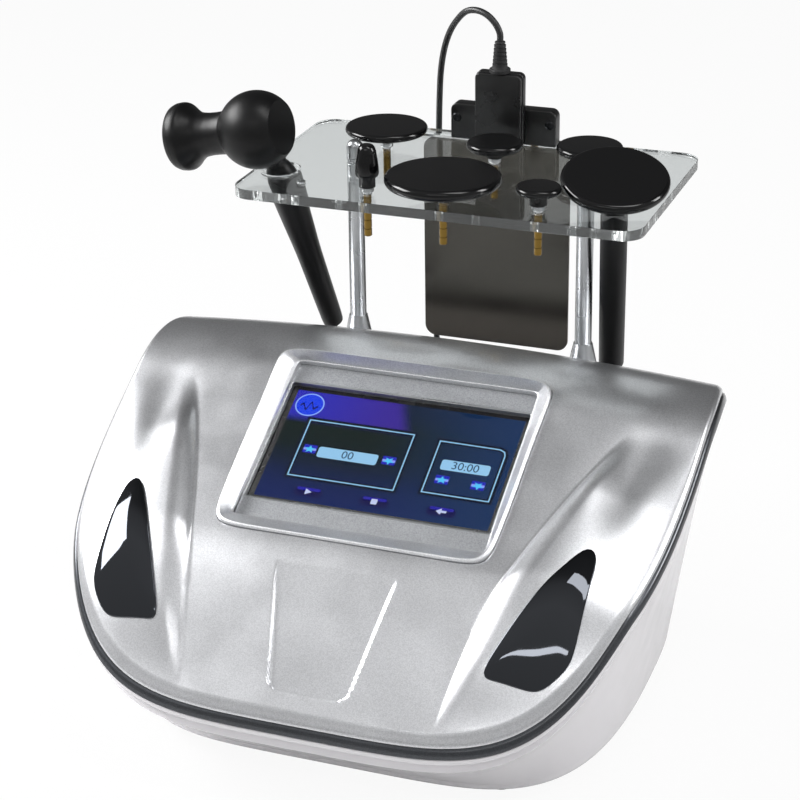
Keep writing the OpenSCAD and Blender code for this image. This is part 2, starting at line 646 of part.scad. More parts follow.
// Each board is [middle, size]
boards = [[[-70, 20], [110, 90]], [[75, 10], [90, 110]], [[-6, -70], [70, 40]]];
board_inset = 5;
function board_holes(b) = [for (x = [-1, 1]) for (y = [-1, 1])
    [b[0][0] + x * (b[1][0] / 2 - board_inset), b[0][1] + y * (b[1][1] / 2 - board_inset)]];
module board_standoffs() color(brass)
    for (b = boards) for (p = board_holes(b)) translate([p[0], p[1], base_h + housing_wall])
        cylinder(r = 2.8, h = standoff_h, $fn = 24);
module board(b) color(board_green) translate([b[0][0], b[0][1], board_z])
    linear_extrude(board_t) square(b[1], center = true);
module power_supply() {
    b = boards[0];
    board(b);
    translate([b[0][0], b[0][1], board_z + board_t]) color([0.75, 0.6, 0.2]) {
        translate([-44, -34, 0]) cube([34, 30, 28]);
        translate([0, -36, 0]) cube([4, 60, 26]);
        for (k = [0:2]) translate([-36 + 16 * k, 26, 0]) cylinder(r = 7, h = 22, $fn = 32);
        translate([24, -20, 0]) cube([20, 24, 16]);
    }
}
module rf_board() {
    b = boards[1];
    board(b);
    translate([b[0][0], b[0][1], board_z + board_t]) color([0.5, 0.5, 0.52]) {
        for (k = [0:5]) translate([-34, -44 + 7 * k, 0]) cube([34, 2, 24]);
        translate([-34, -44, 0]) cube([34, 37, 4]);
        translate([22, 20, 0]) tube(14, 7, 12);
        translate([-30, 18, 0]) cube([26, 20, 14]);
    }
}
module control_board() {
    b = boards[2];
    board(b);
    translate([b[0][0], b[0][1], board_z + board_t]) color([0.1, 0.1, 0.12]) {
        translate([-10, -8, 0]) cube([18, 18, 2]);
        translate([-30, -14, 0]) cube([10, 26, 8]);
        translate([16, -12, 0]) cube([12, 20, 6]);
    }
}

// ---------------------------------------------------------------- shelf and posts
stud_r = 3;
shelf_low = shelf_top - shelf_t;
post_slope = (bare_z(post_x, post_y + cone_r) - bare_z(post_x, post_y - cone_r)) / (2 * cone_r);
seat_gap = 0.35;
seat_z = bare_z(post_x, post_y) + seat_gap;
// Everything above the sloping seat of a post
module above_seat() difference() {
    children();
    translate([0, 0, seat_z]) rotate([atan(post_slope), 0, 0]) translate([-40, -40, -60]) cube([80, 80, 60]);
}
module shelf_posts() color(steel)
    for (s = [-1, 1]) translate([s * post_x, post_y, 0]) {
        above_seat() translate([0, 0, seat_z - 10])
            cylinder(r = post_r, h = shelf_low - seat_z + 10, $fn = 48);
        translate([0, 0, seat_z - 16]) cylinder(r = stud_r, h = 20, $fn = 32);
        translate([0, 0, shelf_low - 1]) cylinder(r = stud_r - 0.5, h = shelf_t + 8, $fn = 32);
    }
cone_h = 15.5;
module post_feet() color(steel)
    for (s = [-1, 1]) translate([s * post_x, post_y, 0]) difference() {
        above_seat() union() {
            translate([0, 0, seat_z + 5]) cylinder(r1 = cone_r, r2 = post_r + 0.6, h = cone_h, $fn = 48);
            translate([0, 0, seat_z - 8]) cylinder(r = cone_r, h = 13, $fn = 48);
        }
        translate([0, 0, seat_z - 20]) cylinder(r = post_r + 0.05, h = 60, $fn = 48);
    }
module post_caps() color(steel)
    for (s = [-1, 1]) translate([s * post_x, post_y, shelf_top]) difference() {
        union() {
            cylinder(r = post_r, h = cap_h - post_r, $fn = 48);
            translate([0, 0, cap_h - post_r]) sphere(r = post_r, $fn = 48);
        }
        translate([0, 0, -1]) cylinder(r = stud_r - 0.45, h = 9, $fn = 32);
    }
module post_nuts() color(steel)
    for (s = [-1, 1]) translate([s * post_x, post_y, seat_z - cover_wall - 10]) difference() {
        cylinder(r = 5.6, h = 4.6, $fn = 6);
        translate([0, 0, -1]) cylinder(r = stud_r + 0.05, h = 8, $fn = 32);
    }

// Places of the tips on the shelf, each [x, y]
cone_place = [-49, 92];
large_place = [2.7, 92];
small_place = [66, 92];
left_rear_place = [-70.8, 185];
middle_rear_place = [9.7, 175];
right_rear_place = [73.5, 181];
spare_place = [-97.5, 97.5];
tip_places = [cone_place, large_place, small_place, left_rear_place, middle_rear_place, right_rear_place];

// Hand pieces lean in their slots; each is [slot middle, back lean, side lean]
left_stand = [[-120.5, 115.7], 25.4, -4.2];
right_stand = [[105.9, 125.7], 20.9, 5.6];
module standing(stand) {
    translate([stand[0][0], stand[0][1], shelf_top]) rotate([stand[1], stand[2], 0]) children();
}
// Slot, cut straight down, that a leaning round grip of radius r clears by shelf_gap
module slot(stand, r) {
    half_t = shelf_t / 2;
    across = r / cos(stand[2]) + half_t * tan(abs(stand[2])) + shelf_gap;
    along = r / cos(stand[1]) + half_t * tan(stand[1]) + shelf_gap;
    translate([stand[0][0] - half_t * tan(stand[2]), stand[0][1] + half_t * tan(stand[1]), shelf_low - 1]) {
        for (s = [-1, 1]) translate([0, s * (along - across), 0])
            cylinder(r = across, h = shelf_t + 2, $fn = 40);
        translate([-across, across - along, 0]) cube([2 * across, 2 * (along - across), shelf_t + 2]);
    }
}
slot_gap = 0.8;
module shelf_plate() color([0.85, 0.9, 0.93]) difference() {
    translate([0, (shelf_front + shelf_back) / 2, shelf_low])
        linear_extrude(shelf_t) rounded_rect(shelf_w, shelf_back - shelf_front, shelf_corner);
    for (s = [-1, 1]) translate([s * post_x, post_y, shelf_low - 1])
        cylinder(r = stud_r - 0.4, h = shelf_t + 2, $fn = 32);
    for (p = [each tip_places, spare_place]) translate([p[0], p[1], shelf_low - 1])
        cylinder(r = pin_r + shelf_gap, h = shelf_t + 2, $fn = 32);
    slot(left_stand, left_grip_r);
    slot(right_stand, right_grip_r);
    translate([-plate_w / 2 + plate_x - 1, plate_y - plate_t / 2 - slot_gap, shelf_low - 1])
        cube([plate_w + 2, plate_t + 2 * slot_gap, shelf_t + 2]);
}

// ---------------------------------------------------------------- plug-in tips
neck_h = 7;
spigot = 4;
// Brass pin with a steel collar that rests on the shelf
module tip_pin(place) color(brass) translate([place[0], place[1], 0]) {
    low = shelf_low - pin_reach;
    difference() {
        translate([0, 0, low]) cylinder(r = pin_r, h = shelf_top + collar_h + spigot - low, $fn = 32);
        for (k = [0:2]) translate([0, 0, low + 5 + 6 * k]) difference() {
            cylinder(r = pin_r + 1, h = 0.8, $fn = 32);
            translate([0, 0, -1]) cylinder(r = pin_r - 0.4, h = 3, $fn = 32);
        }
    }
    translate([0, 0, shelf_top]) cylinder(r = pin_r + 1.7, h = collar_h, $fn = 32);
}
// Black turned head from a profile of [radius, height above the collar]
module tip_head(place, outline) color(black_abs)
    translate([place[0], place[1], shelf_top + collar_h]) difference() {
        rotate_extrude($fn = 64) polygon([[0, 0], each outline]);
        translate([0, 0, -1]) cylinder(r = pin_r + 0.05, h = spigot + 1.3, $fn = 32);
    }
// Outline of a disc with a rounded rim on a short neck
function disc_outline(r, high, t) = [[5.6, 0], [5.6, high - t - 2],
    [r * 0.45, high - t], [r - t * 0.35, high - t],
    for (a = [-60:20:60]) [r - t * 0.45 + t * 0.45 * cos(a), high - t / 2 + t / 2 * sin(a)],
    [r - t * 0.5, high], [0, high]];
cone_outline = [[5.4, 0], [5.4, 6], [7.4, 8], [7.7, 11], [7.4, 15],
    for (a = [0:15:90]) [2.8 + 3.6 * cos(a), 21.5 + 6.9 * sin(a)], [0, 28.4]];
large_r = 37.6;
small_r = 14.6;
left_rear_r = 28;
middle_rear_r = 19;
right_rear_r = 22;
module tip_cone_head() { tip_head(cone_place, cone_outline); }
module tip_cone_pin() { tip_pin(cone_place); }
module tip_large_head() { tip_head(large_place, disc_outline(large_r, 14.1, 7)); }
module tip_large_pin() { tip_pin(large_place); }
module tip_small_head() { tip_head(small_place, disc_outline(small_r, 13, 5)); }
module tip_small_pin() { tip_pin(small_place); }
module tip_left_rear_head() { tip_head(left_rear_place, disc_outline(left_rear_r, 12, 5)); }
module tip_left_rear_pin() { tip_pin(left_rear_place); }
module tip_middle_rear_head() { tip_head(middle_rear_place, disc_outline(middle_rear_r, 11.6, 6)); }
module tip_middle_rear_pin() { tip_pin(middle_rear_place); }
module tip_right_rear_head() { tip_head(right_rear_place, disc_outline(right_rear_r, 13.4, 5.5)); }
module tip_right_rear_pin() { tip_pin(right_rear_place); }

// ---------------------------------------------------------------- left hand piece
// Drawn with the grip along Z through the slot, and the head along X
tail_drop = 124;
gland_l = 18;
ball_mid = [-8.8, 38];
flat_cut = 18.6;
module left_handle_grip() color(black_abs) standing(left_stand) difference() {
    rotate_extrude($fn = 56) polygon([[0, -tail_drop], [6.4, -tail_drop], [7.4, -tail_drop + 1.2],
        [8.6, -80], [9.9, -52], [left_grip_r - 0.5, -28], [left_grip_r, -8], [left_grip_r - 1.2, 4],
        [7.6, 13], [6.6, 20], [6.6, 24], [0, 24]]);
    translate([ball_mid[0], 0, ball_mid[1]]) sphere(r = ball_r + 0.05, $fn = 64);
}
module left_handle_head() color(black_abs) standing(left_stand) translate([ball_mid[0], 0, ball_mid[1]])
    rotate([0, -90, 0]) rotate_extrude($fn = 64) polygon([
        [0, -flat_cut], for (a = [asin(-flat_cut / ball_r):8:50]) [ball_r * cos(a), ball_r * sin(a)],
        [14.2, 23.6], [13.5, 28], [13.5, 36], [15, 42], [bell_r - 3.6, 47.5], [bell_r - 0.6, 51],
        [bell_r, 53.5], [bell_r - 0.6, 56.5], [bell_r - 2.4, 59], [bell_r - 5, 60.4], [0, 60.8]]);
module hand_gland(drop)
    rotate_extrude($fn = 40)
        polygon([[0, -drop - gland_l], [2.6, -drop - gland_l], [4.6, -drop], [0, -drop]]);
module left_handle_gland() color([0.1, 0.1, 0.11]) standing(left_stand)
    hand_gland(tail_drop);

// ---------------------------------------------------------------- right hand piece
right_drop = 128;
right_neck = 6.8;       // height of the grip above the shelf
big_disc_h = 11.8;      // height of the disc's face above the grip
big_disc_t = 7;
disc_lean = [-5.7, 0.7, 0];     // how the disc sits back on its grip
module right_handle_grip() color(black_abs) standing(right_stand)
    rotate_extrude($fn = 48) polygon([[0, -right_drop], [7, -right_drop],
        [right_grip_r - 0.4, -right_drop + 2], [right_grip_r, -60], [right_grip_r, -4],
        [right_grip_r - 1, 1], [6.4, 4], [6.4, right_neck], [0, right_neck]]);
module right_handle_disc() color(black_abs) standing(right_stand)
    translate([0, 0, right_neck + 0.1]) rotate(disc_lean) rotate_extrude($fn = 72)
        polygon([[0, 0.6], [5.2, 0.6],
            for (p = disc_outline(big_disc_r, big_disc_h, big_disc_t)) if (p[1] > 0) p]);
module right_handle_gland() color([0.1, 0.1, 0.11]) standing(right_stand)
    hand_gland(right_drop);

// ---------------------------------------------------------------- return plate
plate_x = -4;
bracket_x = 2;
plate_corner = 8;
tang_w = bracket_w - 12;
module return_plate() color(steel)
    translate([0, plate_y + plate_t / 2, 0]) rotate([90, 0, 0]) linear_extrude(plate_t) {
        blade_top = shelf_low - 0.5;
        tang_low = blade_top - 20;
        translate([plate_x, (plate_low + blade_top) / 2])
            rounded_rect(plate_w, blade_top - plate_low, plate_corner);
        translate([bracket_x - tang_w / 2, tang_low]) square([tang_w, shelf_top + bracket_h - 5 - tang_low]);
    }
module return_bracket() color(black_abs) translate([bracket_x, plate_y, shelf_top]) difference() {
    translate([0, bracket_t / 2, 0]) rotate([90, 0, 0]) linear_extrude(bracket_t) {
        translate([0, bracket_h / 2]) rounded_rect(bracket_w, bracket_h, 5);
        translate([-bracket_w / 2, 0]) square([bracket_w, bracket_h / 2]);
    }
    translate([-tang_w / 2 - 0.1, -plate_t / 2 - 0.1, -1])
        cube([tang_w + 0.2, plate_t + 0.2, bracket_h - 3.9]);
}
block = [33.6, 10];
block_x = 1.4;
screw_span = 66;
bracket_screw_z = shelf_top + bracket_h * 0.6;
module bracket_screws() color(steel)
    for (s = [-1, 1])
        translate([bracket_x + s * screw_span / 2, plate_y - bracket_t / 2 - 1.2, bracket_screw_z])
            facing_back() cylinder(r1 = 2.4, r2 = 3.2, h = 1.2, $fn = 28);
module return_plug_block() color(black_abs)
    translate([block_x, plate_y - bracket_t / 2 - block[1] / 2, shelf_top])
        linear_extrude(block_h) rounded_rect(block[0], block[1], 2);
boot_h = 21;
boot_top = [block_x, plate_y - bracket_t / 2 - block[1] / 2, shelf_top + block_h + boot_h];
module return_boot() color([0.1, 0.1, 0.11]) translate([boot_top[0], boot_top[1], shelf_top + block_h])
    rotate_extrude($fn = 40) polygon([[0, 0], [4.8, 0], [4.8, 0.1], [7.2, 0.1], [7.2, 2.6], [5.4, 2.6],
        [cord_r + 2.6, boot_h - 1], [cord_r + 1.6, boot_h], [0, boot_h]]);

// ---------------------------------------------------------------- return cord
// The free cord leaves the boot, loops over the back of the shelf, drops behind the plate to
// the table and joins the coil; from the coil it rises to its connector in the back panel
cord_drop = [[1.4, 211, 378], [1.2, 211, 383], [-2, 211.5, 389], [-8, 213, 394], [-16, 216, 396],
    [-25, 220, 394], [-33, 225, 387], [-41, 231, 376], [-47, 236, 362], [-51, 240, 345], [-53, 242.5, 325],
    [-54, 243.5, 300], [-55, 244, 270], [-56, 244, 240], [-57, 244, 210], [-57, 244, 180], [-57, 244, 150],
    [-57, 244, 120], [-57, 244, 90], [-56.5, 244, 62], [-55.5, 244, 38], [-52, 244, 20], [-45, 244, 8],
    [-36, 244, 3.2], [-28, 244, 2.2], [-19, 244, 2.2]];
coil_middle = [-2, 214];
coil_r = 24;            // middle of the coil's turns
coil_turns_wide = 3;
coil_turns_high = 2;
module return_cord_coil() color(black_abs) translate([coil_middle[0], coil_middle[1], 0]) {
    half_w = (coil_turns_wide + 0.5) * cord_r;
    rotate_extrude($fn = 48) translate([coil_r - half_w, 0])
        square([2 * half_w, 2 * coil_turns_high * cord_r]);
}
cord_tail = [[-34, 222, 12], [-34, 227, 19], [-32, 230.5, 29], [-28, 229, 40], [-23, 221, 49],
    [-19, 210, 53], [-16.5, 198, 53], [-16, 189, 52], [-16, 181.4, 52]];
module return_cord() color(black_abs) swept_tube(cord_drop, cord_r);
module return_cord_tail() color(black_abs) swept_tube(cord_tail, cord_r);
module return_connector() color([0.12, 0.12, 0.13]) at_panel(socket_places[0], -9.5)
    cylinder(r = socket_r - 1.6, h = 31.5, $fn = 32);

// Closed tube through hand-picked points, with rings square to the route
function unit(v) = v / norm(v);
function spline(p, t) =
    let (k = clip(floor(t), 0, len(p) - 2), f = t - k, a = p[max(k - 1, 0)], b = p[k], c = p[k + 1],
         d = p[min(k + 2, len(p) - 1)])
    0.5 * (2 * b + (c - a) * f + (2 * a - 5 * b + 4 * c - d) * f * f + (3 * b - a - 3 * c + d) * f * f * f);
module swept_tube(p, r, per = 1.6) {
    count = floor((len(p) - 1) * per);
    sides = 8;
    path = [for (k = [0:count]) spline(p, k * (len(p) - 1) / count)];
    function way(k) = unit(path[min(k + 1, count)] - path[max(k - 1, 0)]);
    side_ref = [0.3, 1, 0];
    capped_solid([for (k = [0:count]) let (w = way(k), u = unit(cross(w, side_ref)), v = cross(u, w))
        [for (i = [0:sides - 1]) let (a = -360 * i / sides) path[k] + r * (cos(a) * u + sin(a) * v)]]);
}

lower_housing();
trim_band();
top_cover();
screen_bezel();
screen_mask();
lcd_panel();
touch_glass();
display_board();
pod_inlay_left();
pod_inlay_right();
rubber_feet();
housing_screws();
cover_columns();
rear_panel();
rear_panel_screws();
power_inlet();
fuse_drawer();
rocker_frame();
rocker_switch();
output_sockets();
fan_frame();
fan_guard();
fan_rotor();
board_standoffs();
power_supply();
rf_board();
control_board();
shelf_plate();
shelf_posts();
post_feet();
post_caps();
post_nuts();
tip_cone_head();
tip_cone_pin();
tip_large_head();
tip_large_pin();
tip_small_head();
tip_small_pin();
tip_left_rear_head();
tip_left_rear_pin();
tip_middle_rear_head();
tip_middle_rear_pin();
tip_right_rear_head();
tip_right_rear_pin();
left_handle_grip();
left_handle_head();
left_handle_gland();
right_handle_grip();
right_handle_disc();
right_handle_gland();
return_plate();
return_bracket();
bracket_screws();
return_plug_block();
return_boot();
return_cord();
return_cord_coil();
return_cord_tail();
return_connector();
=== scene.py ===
# %% [markdown]
# # A facial toning machine, dressed in Blender
# The real object is a desktop machine: a silver moulded cover on a white housing, a touch screen in
# a raised frame, two chrome inlays, and a clear shelf that holds black tips, two hand pieces and a
# steel plate on a cord. The solids come packed from the CAD side and stay where they are. Here each
# surface that shows gets its final shape and a finish.

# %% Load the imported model
import bmesh
import bpy
from math import cos, degrees, exp, hypot, pi, radians, sin, tan
from mathutils import Matrix, Vector


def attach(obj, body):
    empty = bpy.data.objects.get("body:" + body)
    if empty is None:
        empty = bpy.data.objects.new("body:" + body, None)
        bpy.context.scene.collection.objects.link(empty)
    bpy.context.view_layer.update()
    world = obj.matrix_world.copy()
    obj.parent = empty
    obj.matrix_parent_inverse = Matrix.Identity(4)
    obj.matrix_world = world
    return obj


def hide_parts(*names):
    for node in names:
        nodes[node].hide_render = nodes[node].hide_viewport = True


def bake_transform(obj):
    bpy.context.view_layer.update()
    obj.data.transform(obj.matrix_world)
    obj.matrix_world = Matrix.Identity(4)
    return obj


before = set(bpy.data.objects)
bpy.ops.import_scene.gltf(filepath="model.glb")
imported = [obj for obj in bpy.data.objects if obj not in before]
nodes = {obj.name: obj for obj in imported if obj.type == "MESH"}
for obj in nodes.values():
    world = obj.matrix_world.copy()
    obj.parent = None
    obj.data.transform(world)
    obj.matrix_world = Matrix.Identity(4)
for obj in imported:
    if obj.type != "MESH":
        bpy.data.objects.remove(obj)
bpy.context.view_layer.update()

# %% [markdown]
# ## Millimetres
# The frame is in metres and the part was drawn in millimetres. Every point below is written in
# millimetres and turned into metres once, where a mesh is made.

# %% Points in millimetres
MM = 0.001


def metres(point):
    return Vector(point) * MM


print("one unit of a drawn point is", MM, "m")

# %% [markdown]
# ## The camera
# A product picture is taken from a little above with a long lens, so that the shelf and the cover
# are both seen and straight edges stay straight. The camera is placed by its own position and three
# angles, which is the plainest way to repeat a known view.

# %% The camera
IMAGE_SIZE = 800                    # pixels, the picture is square
FOCAL_PIXELS = 2266.9
SENSOR = 36
STANDPOINT = (461.3, -1196.5, 776.9)
turn, pitch, roll = radians(20.82), radians(24.06), radians(-0.859)
ahead = Vector((-sin(turn) * cos(pitch), cos(turn) * cos(pitch), -sin(pitch)))
level_right = Vector((cos(turn), sin(turn), 0))
level_up = level_right.cross(ahead)
right = cos(roll) * level_right + sin(roll) * level_up
up = cos(roll) * level_up - sin(roll) * level_right

camera_data = bpy.data.cameras.new("camera")
camera_data.sensor_width = SENSOR
camera_data.lens = FOCAL_PIXELS / IMAGE_SIZE * SENSOR
camera = bpy.data.objects.new("camera", camera_data)
camera.matrix_world = (Matrix.Translation(metres(STANDPOINT))
                       @ Matrix((right, up, -ahead)).transposed().to_4x4())
bpy.context.scene.collection.objects.link(camera)
bpy.context.scene.camera = camera
bpy.context.scene.view_settings.view_transform = "Standard"
print("lens", round(camera_data.lens, 1), "mm")

# %% [markdown]
# ## Making a mesh
# Turned parts, moulded shells and swept cords are all rings of points joined by faces, so one
# function takes rings. A second one finishes any mesh: faces point outwards, smooth shading stops
# at real edges, and the piece rides on the body that moves it, in the place of its plain solid.

# %% Finishing a piece
def finish_piece(name, mesh, material, body, replaces=(), sharp=40):
    """Links the mesh as a piece of the part and hides the solids it stands in for."""
    work = bmesh.new()
    work.from_mesh(mesh)
    bmesh.ops.recalc_face_normals(work, faces=work.faces)
    work.to_mesh(mesh)
    work.free()
    mesh.shade_smooth()
    mesh.set_sharp_from_angle(angle=radians(sharp))
    mesh.materials.append(material)
    piece = bpy.data.objects.new(name, mesh)
    bpy.context.scene.collection.objects.link(piece)
    if body:
        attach(piece, body)
    if replaces:
        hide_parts(*replaces)
    return piece


def mesh_of(name, points, faces):
    mesh = bpy.data.meshes.new(name)
    mesh.from_pydata([metres(p) for p in points], [], faces)
    mesh.update()
    return mesh


# %% Skin through rings
def ring_mesh(name, rings, loop=False):
    """Skin through rings of points; a ring of one point closes the end, others are capped flat."""
    points = [p for ring in rings for p in ring]
    starts = [sum(len(r) for r in rings[:k]) for k in range(len(rings))]
    faces = []
    pairs = list(zip(range(len(rings)), range(1, len(rings))))
    if loop:
        pairs.append((len(rings) - 1, 0))
    for low, high in pairs:
        a, b, m, n = starts[low], starts[high], len(rings[low]), len(rings[high])
        for i in range(max(m, n)):
            j = (i + 1) % max(m, n)
            if m == 1:
                faces.append((a, b + i, b + j))
            elif n == 1:
                faces.append((a + i, a + j, b))
            else:
                faces.append((a + i, a + j, b + j, b + i))
    if not loop:
        for k, flip in ((0, -1), (len(rings) - 1, 1)):
            if len(rings[k]) > 1:
                faces.append([starts[k] + i for i in range(len(rings[k]))][::flip])
    return mesh_of(name, points, faces)


print("rings of points become meshes")


# %% Turned pieces and blocks
def softened(profile, radius, steps=4):
    """The profile with each corner rounded to about that radius."""
    out = [profile[0]]
    for before, here, after in zip(profile, profile[1:], profile[2:]):
        before, here, after = Vector(before), Vector(here), Vector(after)
        come, go = before - here, after - here
        if come.length < 1e-6 or go.length < 1e-6 or degrees(pi - come.angle(go)) < 12:
            out.append(tuple(here))
            continue
        cut = min(radius, 0.45 * come.length, 0.45 * go.length)
        a, b = here + come.normalized() * cut, here + go.normalized() * cut
        for k in range(steps + 1):
            t = k / steps
            out.append(tuple(a * (1 - t) ** 2 + here * 2 * t * (1 - t) + b * t * t))
    out.append(profile[-1])
    return out


def turned(name, profile, material, body, replaces=(), stand=Matrix(), sides=96, sharp=40):
    """A lathe-turned piece from a profile of (radius, height) in its own stand."""
    rings = []
    for radius, height in profile:
        turns = [2 * pi * k / sides for k in range(sides if radius > 1e-4 else 1)]
        rings.append([stand @ Vector((radius * cos(a), radius * sin(a), height)) for a in turns])
    return finish_piece(name, ring_mesh(name, rings), material, body, replaces, sharp)


def block(name, outline, low, high, material, body, replaces=(), stand=Matrix(), edge=0.0):
    """A flat-sided piece: an outline of (x, y) from height low to high, with rounded edges."""
    mesh = ring_mesh(name, [[stand @ Vector((x, y, low)) for x, y in outline],
                            [stand @ Vector((x, y, high)) for x, y in outline]])
    if edge:
        work = bmesh.new()
        work.from_mesh(mesh)
        corners = [e for e in work.edges
                   if len(e.link_faces) == 2 and e.calc_face_angle() > radians(30)]
        bmesh.ops.bevel(work, geom=corners, offset=edge * MM, segments=3, affect="EDGES",
                        profile=0.5)
        work.to_mesh(mesh)
        work.free()
    return finish_piece(name, mesh, material, body, replaces)


def rounded_box(width, height, radius, steps=8):
    """Outline of a rectangle with round corners, middle at the origin."""
    points = []
    for turn_no, (sx, sy) in enumerate(((1, 1), (-1, 1), (-1, -1), (1, -1))):
        for k in range(steps + 1):
            a = radians(90 * (turn_no + k / steps))
            points.append((sx * (width / 2 - radius) + radius * cos(a),
                           sy * (height / 2 - radius) + radius * sin(a)))
    return points


print("turned pieces and blocks ready, round corners in", len(rounded_box(1, 1, 0.1)), "points")

# %% [markdown]
# ## Colours and materials
# A colour is written as an sRGB hex value, as a designer would pick it, and one function turns it
# into the linear light that Blender computes with. A finish is a Principled shader with typical
# values for the real material, and a pattern is a noise whose size is a real one in millimetres.

# %% Colours, nodes and finishes
def linear(hex_colour):
    values = [int(hex_colour[k:k + 2], 16) / 255 for k in (1, 3, 5)]
    return [v / 12.92 if v <= 0.04045 else ((v + 0.055) / 1.055) ** 2.4 for v in values] + [1.0]


def add(material, kind, inputs=None, **settings):
    """Adds a shader node with its settings; an input is a value or the socket it is linked to."""
    shader_node = material.node_tree.nodes.new("ShaderNode" + kind)
    for key, value in settings.items():
        setattr(shader_node, key, value)
    for key, value in (inputs or {}).items():
        if isinstance(value, bpy.types.NodeSocket):
            material.node_tree.links.new(value, shader_node.inputs[key])
        else:
            shader_node.inputs[key].default_value = value
    return shader_node


def finish(name, colour, **sockets):
    """A material with one Principled shader; socket names use _ for a blank."""
    material = bpy.data.materials.new(name)
    material.use_nodes = True
    shader = material.node_tree.nodes["Principled BSDF"]
    shader.inputs["Base Color"].default_value = linear(colour)
    for key, value in sockets.items():
        shader.inputs[key.replace("_", " ")].default_value = value
    return material


def feed(material, **links):
    """Links sockets into the material's Principled shader."""
    shader = material.node_tree.nodes["Principled BSDF"]
    for key, socket in links.items():
        material.node_tree.links.new(socket, shader.inputs[key.replace("_", " ")])


print("middle grey is", round(linear("#808080")[0], 3), "in linear light")

# %% Grain and colour ramps
WEAR_SIZE = 30                      # mm, how far the roughness wanders


def grain(material, size, depth, rough, stretch=(1, 1, 1), detail=3):
    """Surface grain of that size and depth in mm, and a roughness that wanders over a range."""
    place = add(material, "TexCoord")
    mapping = add(material, "Mapping", {"Vector": place.outputs["Object"], "Scale": stretch})
    noise = add(material, "TexNoise", {"Vector": mapping.outputs["Vector"], "Scale": 1000 / size,
                                       "Detail": detail, "Roughness": 0.55})
    bump = add(material, "Bump", {"Height": noise.outputs["Fac"], "Strength": 0.6,
                                  "Distance": depth * MM})
    wear = add(material, "TexNoise", {"Vector": place.outputs["Object"], "Scale": 1000 / WEAR_SIZE,
                                      "Detail": 4.0})
    spread = add(material, "MapRange", {"Value": wear.outputs["Fac"], "From Min": 0.3,
                                        "From Max": 0.7, "To Min": rough[0], "To Max": rough[1]})
    feed(material, Normal=bump.outputs["Normal"], Roughness=spread.outputs["Result"])
    return place


def ramp_of(material, socket, stops):
    """Colour ramp through (position, colour) stops; the first two are its lowest and highest."""
    ramp = add(material, "ValToRGB", {"Fac": socket})
    for k, (position, colour) in enumerate(stops):
        stop = ramp.color_ramp.elements[k] if k < 2 else ramp.color_ramp.elements.new(position)
        stop.position, stop.color = position, colour
    return ramp.outputs["Color"]


print("worn patches are", WEAR_SIZE, "mm wide")

# %% [markdown]
# ## Rubber cord
# The return cord is a limp moulded lead. It is black rubber-like PVC: dull, with a faint sheen
# along the crown of each bend, because the mould leaves it slightly uneven.

# %% Cord finish
cord_pvc = finish("matt PVC cord", "#111213", IOR=1.53)
grain(cord_pvc, 1.2, 0.03, (0.38, 0.52))
print(cord_pvc.name, "ready")

# %% [markdown]
# ## The return cord
# The cord leaves its boot upwards, loops over the back of the shelf, hangs behind the steel plate
# down to the table, lies there in a small two-layer coil and goes up into its socket in the back
# panel. It could be a curve with a bevel; a tube mesh along a computed path is chosen because its
# path also says how long the cord is.

# %% The hanging part and the tail
CORD_R = 2.2
cord_exit = (1.4, 211, 377.6)
drop = [cord_exit, (1.2, 211, 383), (-2, 211.5, 389), (-8, 213, 394), (-16, 216, 396),
        (-25, 220, 394), (-33, 225, 387), (-41, 231, 376), (-47, 236, 362), (-51, 240, 345),
        (-53, 242.5, 325), (-54, 243.5, 300), (-55, 244, 270), (-56, 244, 240), (-57, 244, 210),
        (-57, 244, 180), (-57, 244, 150), (-57, 244, 120), (-57, 244, 90), (-56.5, 244, 62),
        (-55.5, 244, 38), (-52, 244, 20), (-45, 244, 8), (-36, 244, 3.2), (-28, 244, 2.2),
        (-19, 244, 2.2)]
tail = [(-34, 222, 12), (-34, 227, 19), (-32, 230.5, 29), (-28, 229, 40), (-23, 221, 49),
        (-19, 210, 53), (-16.5, 198, 53), (-16, 189, 52), (-16, 181.4, 52)]
print("the cord rises to", max(z for x, y, z in drop), "mm")

# %% The coil and the whole route
COIL_MIDDLE = (-2, 214)
COIL_OUT = 30.6                     # outermost turn
LAYER_TURNS = 2.875                 # each of the two layers
COIL_TURNS, COIL_STEPS = 2 * LAYER_TURNS, 184


def through(points, per=5):
    """Smooth line through the points."""
    line = []
    for k in range(len(points) - 1):
        a, b, c, d = (Vector(points[max(0, min(len(points) - 1, k + s))]) for s in (-1, 0, 1, 2))
        for i in range(per):
            f = i / per
            line.append(0.5 * (2 * b + (c - a) * f + (2 * a - 5 * b + 4 * c - d) * f * f
                               + (3 * b - a - 3 * c + d) * f ** 3))
    return line + [Vector(points[-1])]


def coil_point(turns):
    """Two layers: inwards on the table, then a step up and outwards on top."""
    depth = min(turns, COIL_TURNS - turns)
    radius = COIL_OUT - 2 * CORD_R * depth
    step = max(0, min(1, (turns - LAYER_TURNS + 0.2) / 0.4))
    height = CORD_R + 2 * CORD_R * step * step * (3 - 2 * step)
    angle = pi / 2 - 2 * pi * turns
    return Vector((COIL_MIDDLE[0] + radius * cos(angle), COIL_MIDDLE[1] + radius * sin(angle),
                   height))


coil = [coil_point(COIL_TURNS * k / COIL_STEPS) for k in range(COIL_STEPS + 1)]
route = through(drop + [coil[0]])[:-1] + coil + through([coil[-1]] + tail)[1:]
print(len(route), "points along the cord,", COIL_TURNS, "turns in the coil")


